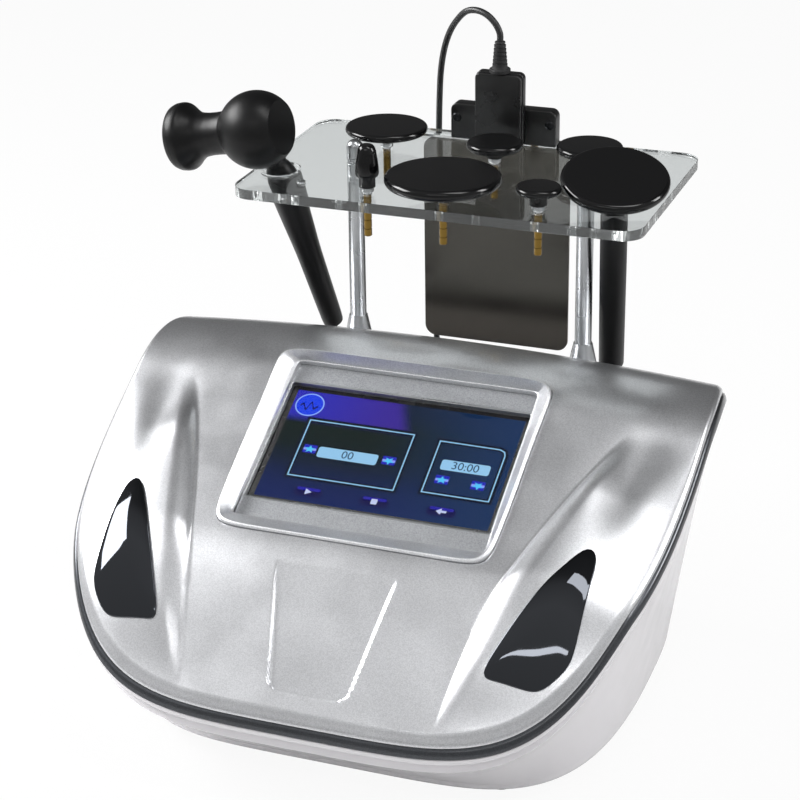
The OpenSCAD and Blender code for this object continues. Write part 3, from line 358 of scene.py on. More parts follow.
# %% The cord
def tube(name, path, radius, sides=14):
    """Rings square to the path, each turned as little as possible from the one before."""
    rings, side = [], Vector((0.3, 1, 0))
    turns = [2 * pi * i / sides for i in range(sides)]
    for k, here in enumerate(path):
        way = (path[min(k + 1, len(path) - 1)] - path[max(k - 1, 0)]).normalized()
        side = side - way * way.dot(side)
        side.normalize()
        other = way.cross(side)
        rings.append([here + radius * (cos(a) * side + sin(a) * other) for a in turns])
    return ring_mesh(name, rings)


return_cord = finish_piece("return_lead", tube("return_lead", route, CORD_R), cord_pvc, None,
                           ("return_cord", "return_cord_coil", "return_cord_tail"))
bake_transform(return_cord)

# %% [markdown]
# ## Floor and light
# A pale floor, a white world and five soft lights. What the part mirrors of the world is not even:
# it is bright in front and at the sides and dims towards the back wall, as in a room where the
# softboxes stand round the camera. That falling-off draws the roll of the cover behind the screen.
# The picture's white comes from the floor's and the world's own answer to camera rays, so the part
# isn't flooded.

# %% Floor
FLOOR_WHITE, FLOOR_IN_METAL = 0.93, 0.15   # how much of the floor is plain white, seen and mirrored
floor_paint = finish("matt floor paint", "#d2d2d2", Roughness=0.9)
grain(floor_paint, 4, 0.02, (0.85, 0.95))
floor_tree = floor_paint.node_tree
ray = add(floor_paint, "LightPath")
white = add(floor_paint, "Emission", {"Color": (1, 1, 1, 1), "Strength": 1.0})
mirrored = add(floor_paint, "Math", {0: ray.outputs["Is Glossy Ray"], 1: FLOOR_IN_METAL},
               operation="MULTIPLY")
indirect = add(floor_paint, "Math", {0: mirrored.outputs[0], 1: ray.outputs["Is Transmission Ray"]},
               operation="MAXIMUM")
either = add(floor_paint, "Math", {0: ray.outputs["Is Camera Ray"], 1: indirect.outputs[0]},
             operation="MAXIMUM")
share = add(floor_paint, "Math", {0: either.outputs[0], 1: FLOOR_WHITE}, operation="MULTIPLY")
mixed = add(floor_paint, "MixShader", {0: share.outputs[0],
                                       1: floor_tree.nodes["Principled BSDF"].outputs[0],
                                       2: white.outputs[0]})
floor_tree.links.new(mixed.outputs[0], floor_tree.nodes["Material Output"].inputs["Surface"])
FLOOR_HALF = 4000
square = ((-1, -1), (1, -1), (1, 1), (-1, 1))
floor_corners = [(x * FLOOR_HALF, y * FLOOR_HALF, 0) for x, y in square]
floor = bpy.data.objects.new("floor", mesh_of("floor", floor_corners, [(0, 1, 2, 3)]))
floor.data.materials.append(floor_paint)
bpy.context.scene.collection.objects.link(floor)
print("floor", 2 * FLOOR_HALF * MM, "m wide")

# %% World
world = bpy.data.worlds.new("studio")
world.use_nodes = True
bpy.context.scene.world = world
BACK_WALL = Vector((0.10, 0.90, 0.42)).normalized()
way_out = add(world, "TexCoord")
backwards = add(world, "VectorMath", {0: way_out.outputs["Generated"], 1: BACK_WALL},
                operation="DOT_PRODUCT")
back_share = add(world, "MapRange", {"Value": backwards.outputs["Value"], "From Min": -1.0,
                                     "From Max": 1.0})
GREYS = ((0, 0.4), (1, 0.1), (0.3, 0.51), (0.5, 0.61), (0.65, 0.43), (0.745, 0.22), (0.85, 0.12))
room = ramp_of(world, back_share.outputs["Result"], [(place, (grey, grey, grey, 1))
                                                     for place, grey in GREYS])
seen = add(world, "LightPath")
plain = add(world, "Math", {0: seen.outputs["Is Camera Ray"],
                            1: seen.outputs["Is Transmission Ray"]}, operation="MAXIMUM")
shown = add(world, "Mix", {0: plain.outputs[0], 6: room, 7: (1, 1, 1, 1)}, data_type="RGBA")
background = world.node_tree.nodes["Background"]
world.node_tree.links.new(shown.outputs[2], background.inputs["Color"])
background.inputs["Strength"].default_value = 1
print("the world has", len(GREYS), "steps of grey")


# %% Softboxes
AIM = Vector((0, 0, 0.15))          # metres, the middle of the machine


def softbox(name, place, size, power):
    light = bpy.data.lights.new(name, "AREA")
    light.shape = "RECTANGLE"
    light.size, light.size_y = size
    light.energy = power
    lamp = bpy.data.objects.new(name, light)
    lamp.location = place
    lamp.rotation_euler = (AIM - Vector(place)).to_track_quat("-Z", "Y").to_euler()
    lamp.visible_camera = False
    bpy.context.scene.collection.objects.link(lamp)


softbox("left_softbox", (-1.42, -0.18, 1.17), (1.1, 0.65), 41)
softbox("top_softbox", (0.6, -0.15, 1.75), (0.4, 1.0), 9)
softbox("right_softbox", (1.5, 0.45, 0.95), (0.4, 0.8), 14)
softbox("back_left_softbox", (-1.45, 0.62, 0.36), (0.3, 0.5), 0.6)
softbox("front_softbox", (0.2, -1.5, 1.5), (1.2, 0.08), 2.6)
print("studio ready")

# %% [markdown]
# ## Silver paint, white ABS and the other moulded plastics
# The cover is ABS sprayed with silver paint: aluminium flakes in a clear binder, so it is metallic
# in colour but soft in its reflections, with a fine sparkle. The housing is plain glossy white ABS,
# and the black parts are black ABS or acetal straight from the mould. The flakes of the real paint
# are about 0.05 mm; they are drawn at 0.5 mm so that they show.

# %% Painted finishes
FLAKE_SIZE = 0.5


def silver_paint(name, light_hex, dark_hex, roughness, metallic=0.96):
    """Two tones of silver that change from flake to flake, under a thin clear coat."""
    paint = finish(name, light_hex, Metallic=metallic, Coat_Weight=0.5, Coat_Roughness=0.08)
    place = grain(paint, FLAKE_SIZE, 0.008, roughness, detail=1)
    cells = add(paint, "TexVoronoi", {"Vector": place.outputs["Object"],
                                      "Scale": 1000 / FLAKE_SIZE})
    flake = add(paint, "SeparateColor", {0: cells.outputs["Color"]}).outputs[0]
    feed(paint, Base_Color=ramp_of(paint, flake, [(0, linear(dark_hex)), (1, linear(light_hex))]))
    return paint


cover_paint = silver_paint("silver paint on ABS", "#dddee1", "#c6c7ca", (0.28, 0.34))
frame_paint = silver_paint("satin silver paint on ABS", "#e6e7e9", "#cfd0d3", (0.36, 0.42), 0.92)
mask_paint = silver_paint("grey metallic paint on ABS", "#b2b4b7", "#94969a", (0.40, 0.46), 0.8)
# The band's dark grey is partly painted shade of the seam gap under the rim.
band_paint_and_seam_shade = silver_paint("dark grey paint with painted seam shade", "#4a4c50", "#3c3e42", (0.28, 0.34), 0.9)
print("flakes of", FLAKE_SIZE, "mm in the paint")

# %% Moulded and bare finishes
white_abs = finish("glossy white ABS", "#e2e0e3", IOR=1.53)
grain(white_abs, 2.5, 0.006, (0.16, 0.24))
black_abs = finish("black ABS", "#080809", IOR=1.53)
grain(black_abs, 0.8, 0.012, (0.24, 0.34))
grip_abs = finish("satin black ABS", "#050506", IOR=1.45, Specular_IOR_Level=0.3)
grain(grip_abs, 0.9, 0.03, (0.34, 0.44))
disc_acetal = finish("black acetal", "#070708", IOR=1.48, Specular_IOR_Level=0.35)
grain(disc_acetal, 1.4, 0.006, (0.22, 0.32))
disc_way = add(disc_acetal, "SeparateXYZ", {0: add(disc_acetal, "NewGeometry").outputs["Normal"]})
faced = add(disc_acetal, "MapRange", {"Value": disc_way.outputs["Z"], "From Min": 0.75,
                                      "From Max": 0.95, "To Min": 0.12, "To Max": 0.36})
feed(disc_acetal, Roughness=faced.outputs["Result"])
dark_nylon = finish("grey nylon", "#3c3d40", IOR=1.53)
grain(dark_nylon, 1.0, 0.03, (0.4, 0.5))
rubber = finish("black rubber", "#161617", IOR=1.52)
grain(rubber, 1.2, 0.06, (0.6, 0.75))
panel_paint = finish("black powder coat", "#232326", IOR=1.5)
grain(panel_paint, 1.0, 0.08, (0.42, 0.52))
red_plastic = finish("clear red polycarbonate", "#8c1512", IOR=1.58)
grain(red_plastic, 1.5, 0.01, (0.12, 0.2))
print("moulded finishes ready")

# %% [markdown]
# ## Metals and clear plastic
# The inlays are chrome plate, nearly a mirror; their base colour is much darker than real chrome,
# a painted dark reflection of the room. Pins are brass with a gold flash, posts and collars satin
# chrome; the brass and the steel are darkened as well, partly painted dark reflection. The return
# plate is cold-rolled stainless steel with a faint rolling grain: a noise stretched along the
# rolling direction. The shelf is cast acrylic, a clear plastic with an IOR of 1.49; it throws no
# shadow because so thin a sheet hardly dims the light. Its sawn edges are a little milky, which a
# lower transmission on all upright faces gives.

# %% Metals and clear plastic
# Base colour far darker than real chrome: painted dark reflection of the room.
chrome = finish("chrome plate darkened as painted reflection", "#44464a", Metallic=1.0)
grain(chrome, 40, 0.01, (0.02, 0.05), detail=1)
satin_chrome = finish("satin chrome plate", "#adafb1", Metallic=1.0)
grain(satin_chrome, 1.0, 0.0002, (0.26, 0.30), stretch=(1, 1, 0.1))
# Base colour darkened below real gold-flashed brass: partly painted dark reflection.
brass = finish("gold-flashed brass", "#77602f", Metallic=1.0)
grain(brass, 0.8, 0.002, (0.12, 0.2), stretch=(0.2, 0.2, 1))
# Grey darkened far below real stainless steel: painted dark reflection of the room.
steel = finish("rolled stainless steel", "#66635d", Metallic=1.0)
grain(steel, 0.9, 0.0008, (0.20, 0.24), stretch=(1, 1, 0.03))
black_oxide = finish("black oxide steel", "#2a2b2d", Metallic=1.0)
grain(black_oxide, 0.6, 0.004, (0.25, 0.38))
screw_steel = finish("zinc-plated steel", "#a9abae", Metallic=1.0)
grain(screw_steel, 0.6, 0.01, (0.25, 0.38))
acrylic = finish("cast acrylic", "#dde1e1", IOR=1.49, Transmission_Weight=1.0)
grain(acrylic, 60, 0.004, (0.0, 0.02), detail=1)
sheet_way = add(acrylic, "SeparateXYZ", {0: add(acrylic, "NewGeometry").outputs["Normal"]})
flatness = add(acrylic, "Math", {0: sheet_way.outputs["Z"]}, operation="ABSOLUTE")
clearness = add(acrylic, "MapRange", {"Value": flatness.outputs[0], "From Min": 0.2,
                                      "From Max": 0.8, "To Min": 0.9, "To Max": 1.0})
feed(acrylic, Transmission_Weight=clearness.outputs["Result"])
screen_glass = finish("anti-glare touch glass", "#ffffff", IOR=1.2, Transmission_Weight=1.0)
grain(screen_glass, 60, 0.002, (0.0, 0.03), detail=1)
board_lacquer = finish("green solder mask", "#0f4a2e", IOR=1.5)
grain(board_lacquer, 2, 0.02, (0.3, 0.45))
print("materials ready")

# %% [markdown]
# ## The shape of the cover
# The cover is one moulded shell and the skilled part of this machine: a front slope that turns into
# the flat field of the screen, rolls over a ridge and falls away at the back, with two mounds at
# the sides and a thumb recess in front. It is drawn as a height over every point of the table, from
# a few stations as the solid is. Sculpting would be freer, but a height function keeps it true to
# size.

# %% Cover dimensions in mm
COVER_W, FRONT, BACK, WIDEST = 382.6, 159, 163, 50
CROWN, CROWN_Y, CROWN_REACH, COVER_EDGE, COVER_WALL = 9.4, 40, 203, 4, 3
RIDGE_Y, RIDGE_Z, FRONT_Z, BACK_Z = 76, 212.4, 65.8, 167
CREASE_X, CREASE_Y, CREASE_SLANT, CREASE_BOW, CREASE_SOFT = 82, -140, 0.261, 0.00072, 4
POD_H, POD_RISE, POD_MIN_W, POD_LAP = 7.5, 0.25, 20, 2
POD_BACK, POD_BACK_FADE, POD_FRONT, POD_FRONT_FADE = 26, 50, -156, 34
VALLEY_DEPTH, VALLEY_X, VALLEY_Y, VALLEY_SLANT = 3.6, 155, -12, 0.12
VALLEY_HALF_W, VALLEY_HALF_LONG = 13, 27
TILT = radians(27.4)
LCD_W, LCD_H, LCD_Y, LCD_Z = 154, 86, -40.8, 146.0
SCREEN_DEPTH, CREST_H = 15.4, 17.1
FRONT_SIDE = (WIDEST + FRONT, 4.2, 0.076)       # reach, squareness, taper
BACK_SIDE = (BACK - WIDEST, 6, 0.12)
print("cover", COVER_W, "by", FRONT + BACK, "mm")


# %% The profile along the middle
def clip(value, low, high):
    return max(low, min(high, value))


def smooth(value):
    t = clip(value, 0, 1)
    return t * t * (3 - 2 * t)


def mix(a, b, t):
    return a * (1 - t) + b * t


def screen_plane_z(y):
    return LCD_Z + (y - LCD_Y) * tan(TILT)


def flat_z(y):
    return screen_plane_z(y) + SCREEN_DEPTH / cos(TILT)


PROFILE = [(-FRONT, FRONT_Z, 0.9), (-80, flat_z(-80), tan(TILT)), (30, flat_z(30), tan(TILT)),
           (RIDGE_Y, RIDGE_Z, 0), (BACK, BACK_Z, -0.55)]   # (y, height, slope)


def centre_z(y):
    """Height along the middle line, a cubic between each two stations."""
    k = clip(sum(p[0] <= y for p in PROFILE), 1, len(PROFILE) - 1)
    a, b = PROFILE[k - 1], PROFILE[k]
    h = b[0] - a[0]
    t = (y - a[0]) / h
    return ((2 * t ** 3 - 3 * t * t + 1) * a[1] + (t ** 3 - 2 * t * t + t) * h * a[2]
            + (3 * t * t - 2 * t ** 3) * b[1] + (t ** 3 - t * t) * h * b[2])


print("front edge", round(centre_z(-FRONT)), "mm, ridge", round(centre_z(RIDGE_Y)), "mm")


# %% The outline from above
def outline_point(angle, half_w, middle, front, back, grow=0.0):
    """Point of a rounded four-sided outline; each side is (reach, squareness, taper)."""
    a = radians(angle)
    c, s = abs(cos(a)), abs(sin(a))
    side = front if sin(a) < 0 else back
    m = (c ** side[1] + s ** side[1]) ** (-1 / side[1])
    u = s * m
    x = (half_w + grow) * c * m * (1 - side[2] * u * u)
    y = (side[0] + grow) * u
    return (x if cos(a) >= 0 else -x), middle + (y if sin(a) >= 0 else -y)


def plan(angle, grow=0.0):
    return outline_point(angle, COVER_W / 2, WIDEST, FRONT_SIDE, BACK_SIDE, grow)


def edge_x(y):
    side = FRONT_SIDE if y < WIDEST else BACK_SIDE
    u = clip(abs(y - WIDEST) / side[0], 0, 1)
    return COVER_W / 2 * (1 - u ** side[1]) ** (1 / side[1]) * (1 - side[2] * u * u)


print("half as wide at the display:", round(edge_x(LCD_Y)), "mm")


# %% Height over every point
def bare_z(x, y):
    """The cover without its mounds, crowned from side to side."""
    fall = clip(1 - ((y - CROWN_Y) / CROWN_REACH) ** 2, 0, 1)
    return centre_z(y) - CROWN * fall * (x / (COVER_W / 2)) ** 2


def crease_x(y):
    """The bowed line from which a mound rises."""
    d = y - CREASE_Y
    return CREASE_X + CREASE_SLANT * d + CREASE_BOW * d * abs(d)


def cover_z(x, y):
    """The mound climbs quickly from its crease and rolls off slowly to the rim, and a shallow
    valley leads over it from the back to the inlay."""
    start = crease_x(y)
    away = abs(x) - start
    share = clip(away / max(POD_MIN_W, edge_x(y) - POD_LAP - start), 0, 1)
    if share < POD_RISE:
        dome = sin(pi / 2 * share / POD_RISE) * smooth(away / CREASE_SOFT)
    else:
        dome = cos(pi / 2 * (share - POD_RISE) / (1 - POD_RISE))
    ends = smooth((POD_BACK - y) / POD_BACK_FADE) * smooth((y - POD_FRONT) / POD_FRONT_FADE)
    axis = VALLEY_X + VALLEY_SLANT * (y - VALLEY_Y)
    valley = exp(-((abs(x) - axis) / VALLEY_HALF_W) ** 2 - ((y - VALLEY_Y) / VALLEY_HALF_LONG) ** 2)
    return bare_z(x, y) + POD_H * dome * ends - VALLEY_DEPTH * valley


print("a mound is up to", round(cover_z(140, -70) - bare_z(140, -70), 1), "mm high")

# %% The thumb recess below the screen
RECESS_DEPTH, RECESS_W, RECESS_SPREAD, RECESS_FRONT, RECESS_TOP = 5.5, 52, 26, -147, -92
RECESS_CORNER, RECESS_WALL = 8, 1.8
FOOT_Z = centre_z(RECESS_FRONT) - RECESS_DEPTH
RECESS_SLOPE = (centre_z(RECESS_TOP) + 0.5 - FOOT_Z) / (RECESS_TOP - RECESS_FRONT)
RECESS_LONG = (RECESS_TOP - RECESS_FRONT) * hypot(1, RECESS_SLOPE)


def with_recess(x, y):
    """Cover height with the flat-floored recess that runs out towards the screen."""
    z = cover_z(x, y)
    along = (y - RECESS_FRONT) * hypot(1, RECESS_SLOPE)
    half = mix(RECESS_W / 2, (RECESS_W + RECESS_SPREAD) / 2,
               (along - RECESS_CORNER) / (RECESS_LONG - RECESS_CORNER))
    inside = half - abs(x)
    if inside < RECESS_CORNER and along < RECESS_CORNER:
        inside = RECESS_CORNER - hypot(RECESS_CORNER - inside, RECESS_CORNER - along)
    else:
        inside = min(inside, along)
    floor_z = min(z, FOOT_Z + (y - RECESS_FRONT) * RECESS_SLOPE)
    return mix(z, floor_z, smooth(inside / RECESS_WALL + 0.5))


print("recess", RECESS_DEPTH, "mm deep,", round(RECESS_LONG), "mm long")

# %% The screen's own coordinates
FRAME_LOW, FRAME_HIGH, FRAME_SIDE = 35.5, 22.3, 14
FRAME_MID = (LCD_H + FRAME_HIGH - FRAME_LOW) / 2
FRAME_REACH = (LCD_H + FRAME_HIGH + FRAME_LOW) / 2


def on_screen(x, v, n):
    """x across, v up the display from its lower edge, n off its face."""
    return x, LCD_Y + v * cos(TILT) - n * sin(TILT), LCD_Z + v * sin(TILT) + n * cos(TILT)


SCREEN_STAND = Matrix.Translation(Vector((0, LCD_Y, LCD_Z))) @ Matrix.Rotation(TILT, 4, "X")


def frame_outline(angle, grow):
    """The frame is a little narrower at its lower end."""
    return outline_point(angle, LCD_W / 2 + FRAME_SIDE, FRAME_MID, (FRAME_REACH, 14, 0.024),
                         (FRAME_REACH, 14, -0.024), grow)


def opening(angle):
    """Where the frame's outline comes down on the cover."""
    x, v = frame_outline(angle, 0.4)
    y = LCD_Y + v * cos(TILT) - SCREEN_DEPTH * sin(TILT)
    over = (bare_z(x, y) - screen_plane_z(y)) * cos(TILT)
    return x, LCD_Y + v * cos(TILT) - over * sin(TILT)


print("frame", LCD_W + 2 * FRAME_SIDE, "mm wide")


# %% Directions round the body, closest together at corners and round the recess
def cornered(a):
    """The angle, drawn towards the corners of a four-sided outline."""
    return a + 5 * sin(4 * radians(a))


FINE, COARSE = 0.3, 0.9             # degrees
RECESS_FROM, RECESS_TO = -122, -58.5
angles, a = [], -180.0
while a < 180 - 1e-9:
    angles.append(cornered(a))
    a += FINE if RECESS_FROM < a < RECESS_TO else COARSE
print(len(angles), "points round the cover")

# %% [markdown]
# ## Making the cover
# The skin runs from the opening of the screen to the rim in 90 rings, rolls over the rim in a few
# more and comes back inside, so the shell has its real wall.

# %% The cover
SEAM_W, SEAM_GAP = 3.4, 0.3
SKIN_ROWS = 90
inner = [Vector(opening(a)) for a in angles]
rim = [Vector(plan(a)) for a in angles]


def rim_ring(grow, down):
    return [(*plan(a, grow), cover_z(*r) - down) for a, r in zip(angles, rim)]


rings = []
for row in range(SKIN_ROWS):
    ring = []
    for i, r in zip(inner, rim):
        reach = 1 - COVER_EDGE / (r - i).length
        x, y = i.lerp(r, row / (SKIN_ROWS - 1) * reach)
        ring.append((x, y, with_recess(x, y)))
    rings.append(ring)
for step in (0.16, 0.33, 0.5, 0.66, 0.83, 1.0):    # a quarter round
    back, down = 1 - sin(step * pi / 2), 1 - cos(step * pi / 2)
    ring = []
    for i, r in zip(inner, rim):
        p = r.lerp(i, back * COVER_EDGE / (r - i).length)
        ring.append((p.x, p.y, mix(cover_z(*r), cover_z(*p), back) - down * COVER_EDGE))
    rings.append(ring)
rings.append(rim_ring(-SEAM_W, COVER_EDGE))
UNDER_RECESS, UNDER_HALF_W, UNDER_BACK = 6, 60, -78     # the inside keeps below the recess
for t in (1, 0.75, 0.5, 0.25, 0):
    ring = []
    for i, a in zip(inner, angles):
        p = i.lerp(Vector(plan(a, -SEAM_W)), t)
        near = smooth((UNDER_HALF_W - abs(p.x)) / 20) * smooth((UNDER_BACK - p.y) / 14)
        under = COVER_WALL + (UNDER_RECESS * near if t else 0)
        ring.append((p.x, p.y + (1 - t) * COVER_WALL * tan(TILT), cover_z(*p) - under))
    rings.append(ring)
finish_piece("cover", ring_mesh("cover", rings, loop=True), cover_paint, "machine",
             ("top_cover",), sharp=50)
print(len(rings) * len(angles), "points in the cover")

# %% [markdown]
# ## Trim band and white housing
# A dark grey band closes the seam between the shells and flares out a little, so the cover seems to
# float on it; its dark grey is partly painted shade of the gap under the cover's rim. The housing
# below starts with a lip and a shadow line, then its wall turns under to a smaller foot, with a
# flat back for the panel. Both are rings parallel to the rim.

# %% The trim band
BAND_H, BAND_FLARE, LIP_H, COVE = 6.4, 2.6, 4, 3
BAND_LOW = COVER_EDGE + BAND_H
band_rings = [rim_ring(-SEAM_W, COVER_EDGE + SEAM_GAP), rim_ring(0.1, COVER_EDGE + SEAM_GAP),
              rim_ring(0.5, COVER_EDGE + SEAM_GAP + 0.4)]
for t in (0.15, 0.3, 0.45, 0.6, 0.75, 0.9):
    flare = 0.5 + (BAND_FLARE - 0.5) * (1 - (1 - t) ** 2)
    band_rings.append(rim_ring(flare, COVER_EDGE + BAND_H * t))
band_rings += [rim_ring(BAND_FLARE, BAND_LOW - 0.4), rim_ring(BAND_FLARE - 0.4, BAND_LOW),
               rim_ring(-SEAM_W, BAND_LOW)]
finish_piece("seam_band", ring_mesh("seam_band", band_rings, loop=True), band_paint_and_seam_shade, "machine",
             ("trim_band",), sharp=50)
print("band", BAND_H, "mm high")

# %% Dimensions and rings of the housing
HOUSING_WALL, BASE_W, BASE_FRONT, BASE_H, BASE_MID = 3, 320, 116, 8, 24
BACK_WALL_Y = 157
BASE_BACK = BACK_WALL_Y + 6
SHOULDER = BAND_LOW + LIP_H + 7
WALL_CURVE, BASE_ROUND = 0.86, 5
PANEL_W, PANEL_H, PANEL_LOW, PANEL_LAP, PANEL_T = 208, 96, 28, 7, 2


def base_point(angle, grow):
    return outline_point(angle, BASE_W / 2, BASE_MID, (BASE_FRONT + BASE_MID, 5.1, 0.14),
                         (BASE_BACK - BASE_MID, 5.1, 0.03), grow)


def wall_ring(t, grow):
    ring = []
    for a, r in zip(angles, rim):
        p = Vector(plan(a, grow - COVE / 2)).lerp(Vector(base_point(a, grow)), t ** WALL_CURVE)
        z = mix(cover_z(*r) - SHOULDER, BASE_H + BASE_ROUND, t)
        ring.append((p.x, min(p.y, BACK_WALL_Y + grow), z))
    return ring


def floor_ring(grow, z):
    flat = [base_point(a, grow) for a in angles]
    return [(x, min(y, BACK_WALL_Y + grow), z) for x, y in flat]


print("housing", BASE_W, "mm wide at its foot")

# %% The housing's skin
housing_rings = [floor_ring(-HOUSING_WALL - 2, BASE_H + HOUSING_WALL)]
housing_rings += [wall_ring(t, -HOUSING_WALL) for t in (1, 0.8, 0.6, 0.4, 0.2, 0.1)]
housing_rings += [rim_ring(grow, down) for grow, down in (
    (-HOUSING_WALL - COVE, SHOULDER - 5), (-SEAM_W, BAND_LOW + SEAM_GAP),
    (BAND_FLARE - 1.2, BAND_LOW + SEAM_GAP), (BAND_FLARE - 0.8, BAND_LOW + SEAM_GAP + 0.5),
    (BAND_FLARE - 0.9, BAND_LOW + LIP_H - 0.8), (BAND_FLARE - 1.4, BAND_LOW + LIP_H),
    (-COVE + 0.6, BAND_LOW + LIP_H + 1.4), (-COVE, BAND_LOW + LIP_H + 2.4))]
housing_rings += [wall_ring(k / 24, 0) for k in range(25)]
housing_rings += [floor_ring(grow, BASE_H + up_by) for grow, up_by in (
    (-0.3, 3.4), (-1, 2), (-2, 0.9), (-3.4, 0.2), (-BASE_ROUND, 0))]
housing_mesh = ring_mesh("housing", housing_rings)
print(len(housing_rings), "rings in the housing")

# %% The window for the back panel
window_x, window_low = PANEL_W / 2 - PANEL_LAP, PANEL_LOW + PANEL_LAP
window_mesh = ring_mesh("window", [
    [(x, y, z) for x, z in ((-window_x, window_low), (window_x, window_low),
                            (window_x, window_low + PANEL_H - 2 * PANEL_LAP),
                            (-window_x, window_low + PANEL_H - 2 * PANEL_LAP))]
    for y in (BACK_WALL_Y - 8, BACK_WALL_Y + 8)])
shell = bpy.data.objects.new("shell", housing_mesh)
window = bpy.data.objects.new("window", window_mesh)
for scratch in (shell, window):
    bpy.context.scene.collection.objects.link(scratch)
    straight = bmesh.new()
    straight.from_mesh(scratch.data)
    bmesh.ops.recalc_face_normals(straight, faces=straight.faces)
    straight.to_mesh(scratch.data)
    straight.free()
cut = shell.modifiers.new("cut", "BOOLEAN")
cut.object, cut.operation, cut.solver = window, "DIFFERENCE", "EXACT"
bpy.context.view_layer.update()
cut_shell = shell.evaluated_get(bpy.context.evaluated_depsgraph_get())
cut_mesh = bpy.data.meshes.new_from_object(cut_shell)
for scratch in (shell, window):
    bpy.data.objects.remove(scratch)
finish_piece("housing", cut_mesh, white_abs, "machine", ("lower_housing",))
print("housing", len(cut_mesh.vertices), "points")

# %% [markdown]
# ## The screen frame
# A raised frame with broad facets that lead down to the display. Each side takes the light its own
# way, which shows the mitred corners. Its crest and inner edge are slightly rounded, as moulded
# edges are, and the facet between them is straight.

# %% The frame
MASK_LOW, MASK_HIGH, MASK_N, FRAME_IN, FRAME_UNDER = 21.3, 17.7, 5, 8.5, 1.5
MASK_HALF_W = LCD_W / 2 + 4.9
FRAME_POINTS = 240
FRAME_TURNS = [360 * i / FRAME_POINTS for i in range(FRAME_POINTS)]


def frame_ring(grow, n):
    return [on_screen(*frame_outline(cornered(a), grow), n) for a in FRAME_TURNS]


def window_ring(grow, n):
    middle, reach = (LCD_H + MASK_HIGH - MASK_LOW) / 2, (LCD_H + MASK_HIGH + MASK_LOW) / 2
    return [on_screen(*outline_point(a, MASK_HALF_W, middle, (reach, 60, -0.01), (reach, 60, 0.01),
                                     grow), n) for a in FRAME_TURNS]


outer_edge, inner_edge = frame_ring(-1.6, CREST_H), window_ring(0.6, FRAME_IN + 0.2)
facet = [[tuple(Vector(p).lerp(Vector(q), t)) for p, q in zip(outer_edge, inner_edge)]
         for t in (0, 0.25, 0.5, 0.75, 1)]
outside = ((-2, FRAME_UNDER), (0, FRAME_UNDER + 4), (0, CREST_H - 1.4), (-0.15, CREST_H - 0.8),
           (-0.5, CREST_H - 0.35), (-1, CREST_H - 0.1))
inside = ((0.2, FRAME_IN), (0, FRAME_IN - 0.4), (0, MASK_N), (2, MASK_N), (2, FRAME_UNDER))
frame_rings = ([frame_ring(*p) for p in outside] + facet + [window_ring(*p) for p in inside])
finish_piece("screen_frame", ring_mesh("screen_frame", frame_rings, loop=True), frame_paint,
             "machine", ("screen_bezel",), sharp=30)
print("frame stands", CREST_H, "mm over the display")

# %% [markdown]
# ## The lit display
# The display is a 7 inch panel behind a sheet of touch glass. Its picture is light, not paint, so
# each shape of the menu is a very thin slab that glows. The words of the menu are left out: two
# framed boxes with a value each, arrow keys in the form of stars, and three plain keys with symbols
# remain.

# %% Glowing colours
def glowing(name, colour):
    material = finish(name, "#000000", Roughness=0.4, Specular_IOR_Level=0.0, Emission_Strength=1.0)
    shader = material.node_tree.nodes["Principled BSDF"]
    shader.inputs["Emission Color"].default_value = linear(colour)
    return material


def share_of(material, value, start, end):
    """0 at start and 1 at end, with a soft step between."""
    return add(material, "MapRange", {"Value": value, "From Min": start, "From Max": end},
               interpolation_type="SMOOTHSTEP").outputs["Result"]


# %% The menu's background
menu_glow = glowing("menu background", "#0f1c2c")
spot = add(menu_glow, "SeparateXYZ", {0: add(menu_glow, "TexCoord").outputs["Object"]})
height = share_of(menu_glow, spot.outputs["Z"], LCD_Z * MM, (LCD_Z + LCD_H * sin(TILT)) * MM)
upright_ramp = ramp_of(menu_glow, height, [
    (0.0, linear("#142357")), (1.0, linear("#0f1d33")), (0.3, linear("#101d33")),
    (0.5, linear("#0d1b1f")), (0.85, linear("#0e1c18"))])
rightwards = share_of(menu_glow, spot.outputs["X"], -0.02, 0.085)
with_right = add(menu_glow, "Mix", {0: rightwards, 6: upright_ramp, 7: linear("#173058")},
                 data_type="RGBA")
slant = add(menu_glow, "Math", {0: spot.outputs["Z"], 1: 0.9, 2: spot.outputs["X"]},
            operation="MULTIPLY_ADD")
title_end = share_of(menu_glow, slant.outputs[0], 0.168, 0.156)
title_low = share_of(menu_glow, spot.outputs["Z"], 0.1735, 0.1775)
title = add(menu_glow, "Math", {0: title_end, 1: title_low}, operation="MULTIPLY")
title_colour = ramp_of(menu_glow, share_of(menu_glow, spot.outputs["X"], -0.077, 0.0),
                       [(0.0, linear("#2b2bb0")), (1.0, linear("#3a2790"))])
menu_colour = add(menu_glow, "Mix", {0: title.outputs[0], 6: with_right.outputs[2],
                                     7: title_colour}, data_type="RGBA")
feed(menu_glow, Emission_Color=menu_colour.outputs[2])


# %% Shapes of the menu
def oblong(left, right, low, high, radius=0.3):
    return [(x + (left + right) / 2, v + (low + high) / 2)
            for x, v in rounded_box(right - left, high - low, radius, 4)]


def star(x, v, size, way):
    """Five-pointed star with its tip up or down."""
    points = []
    for k in range(10):
        reach = size if k % 2 == 0 else size * 0.45
        a = radians(90 * way + 36 * k)
        points.append((x + 1.25 * reach * cos(a), v + reach * sin(a)))
    return points


def oval(x, v, across, up, count=48):
    turns = [2 * pi * k / count for k in range(count)]
    return [(x + across * cos(a), v + up * sin(a)) for a in turns]


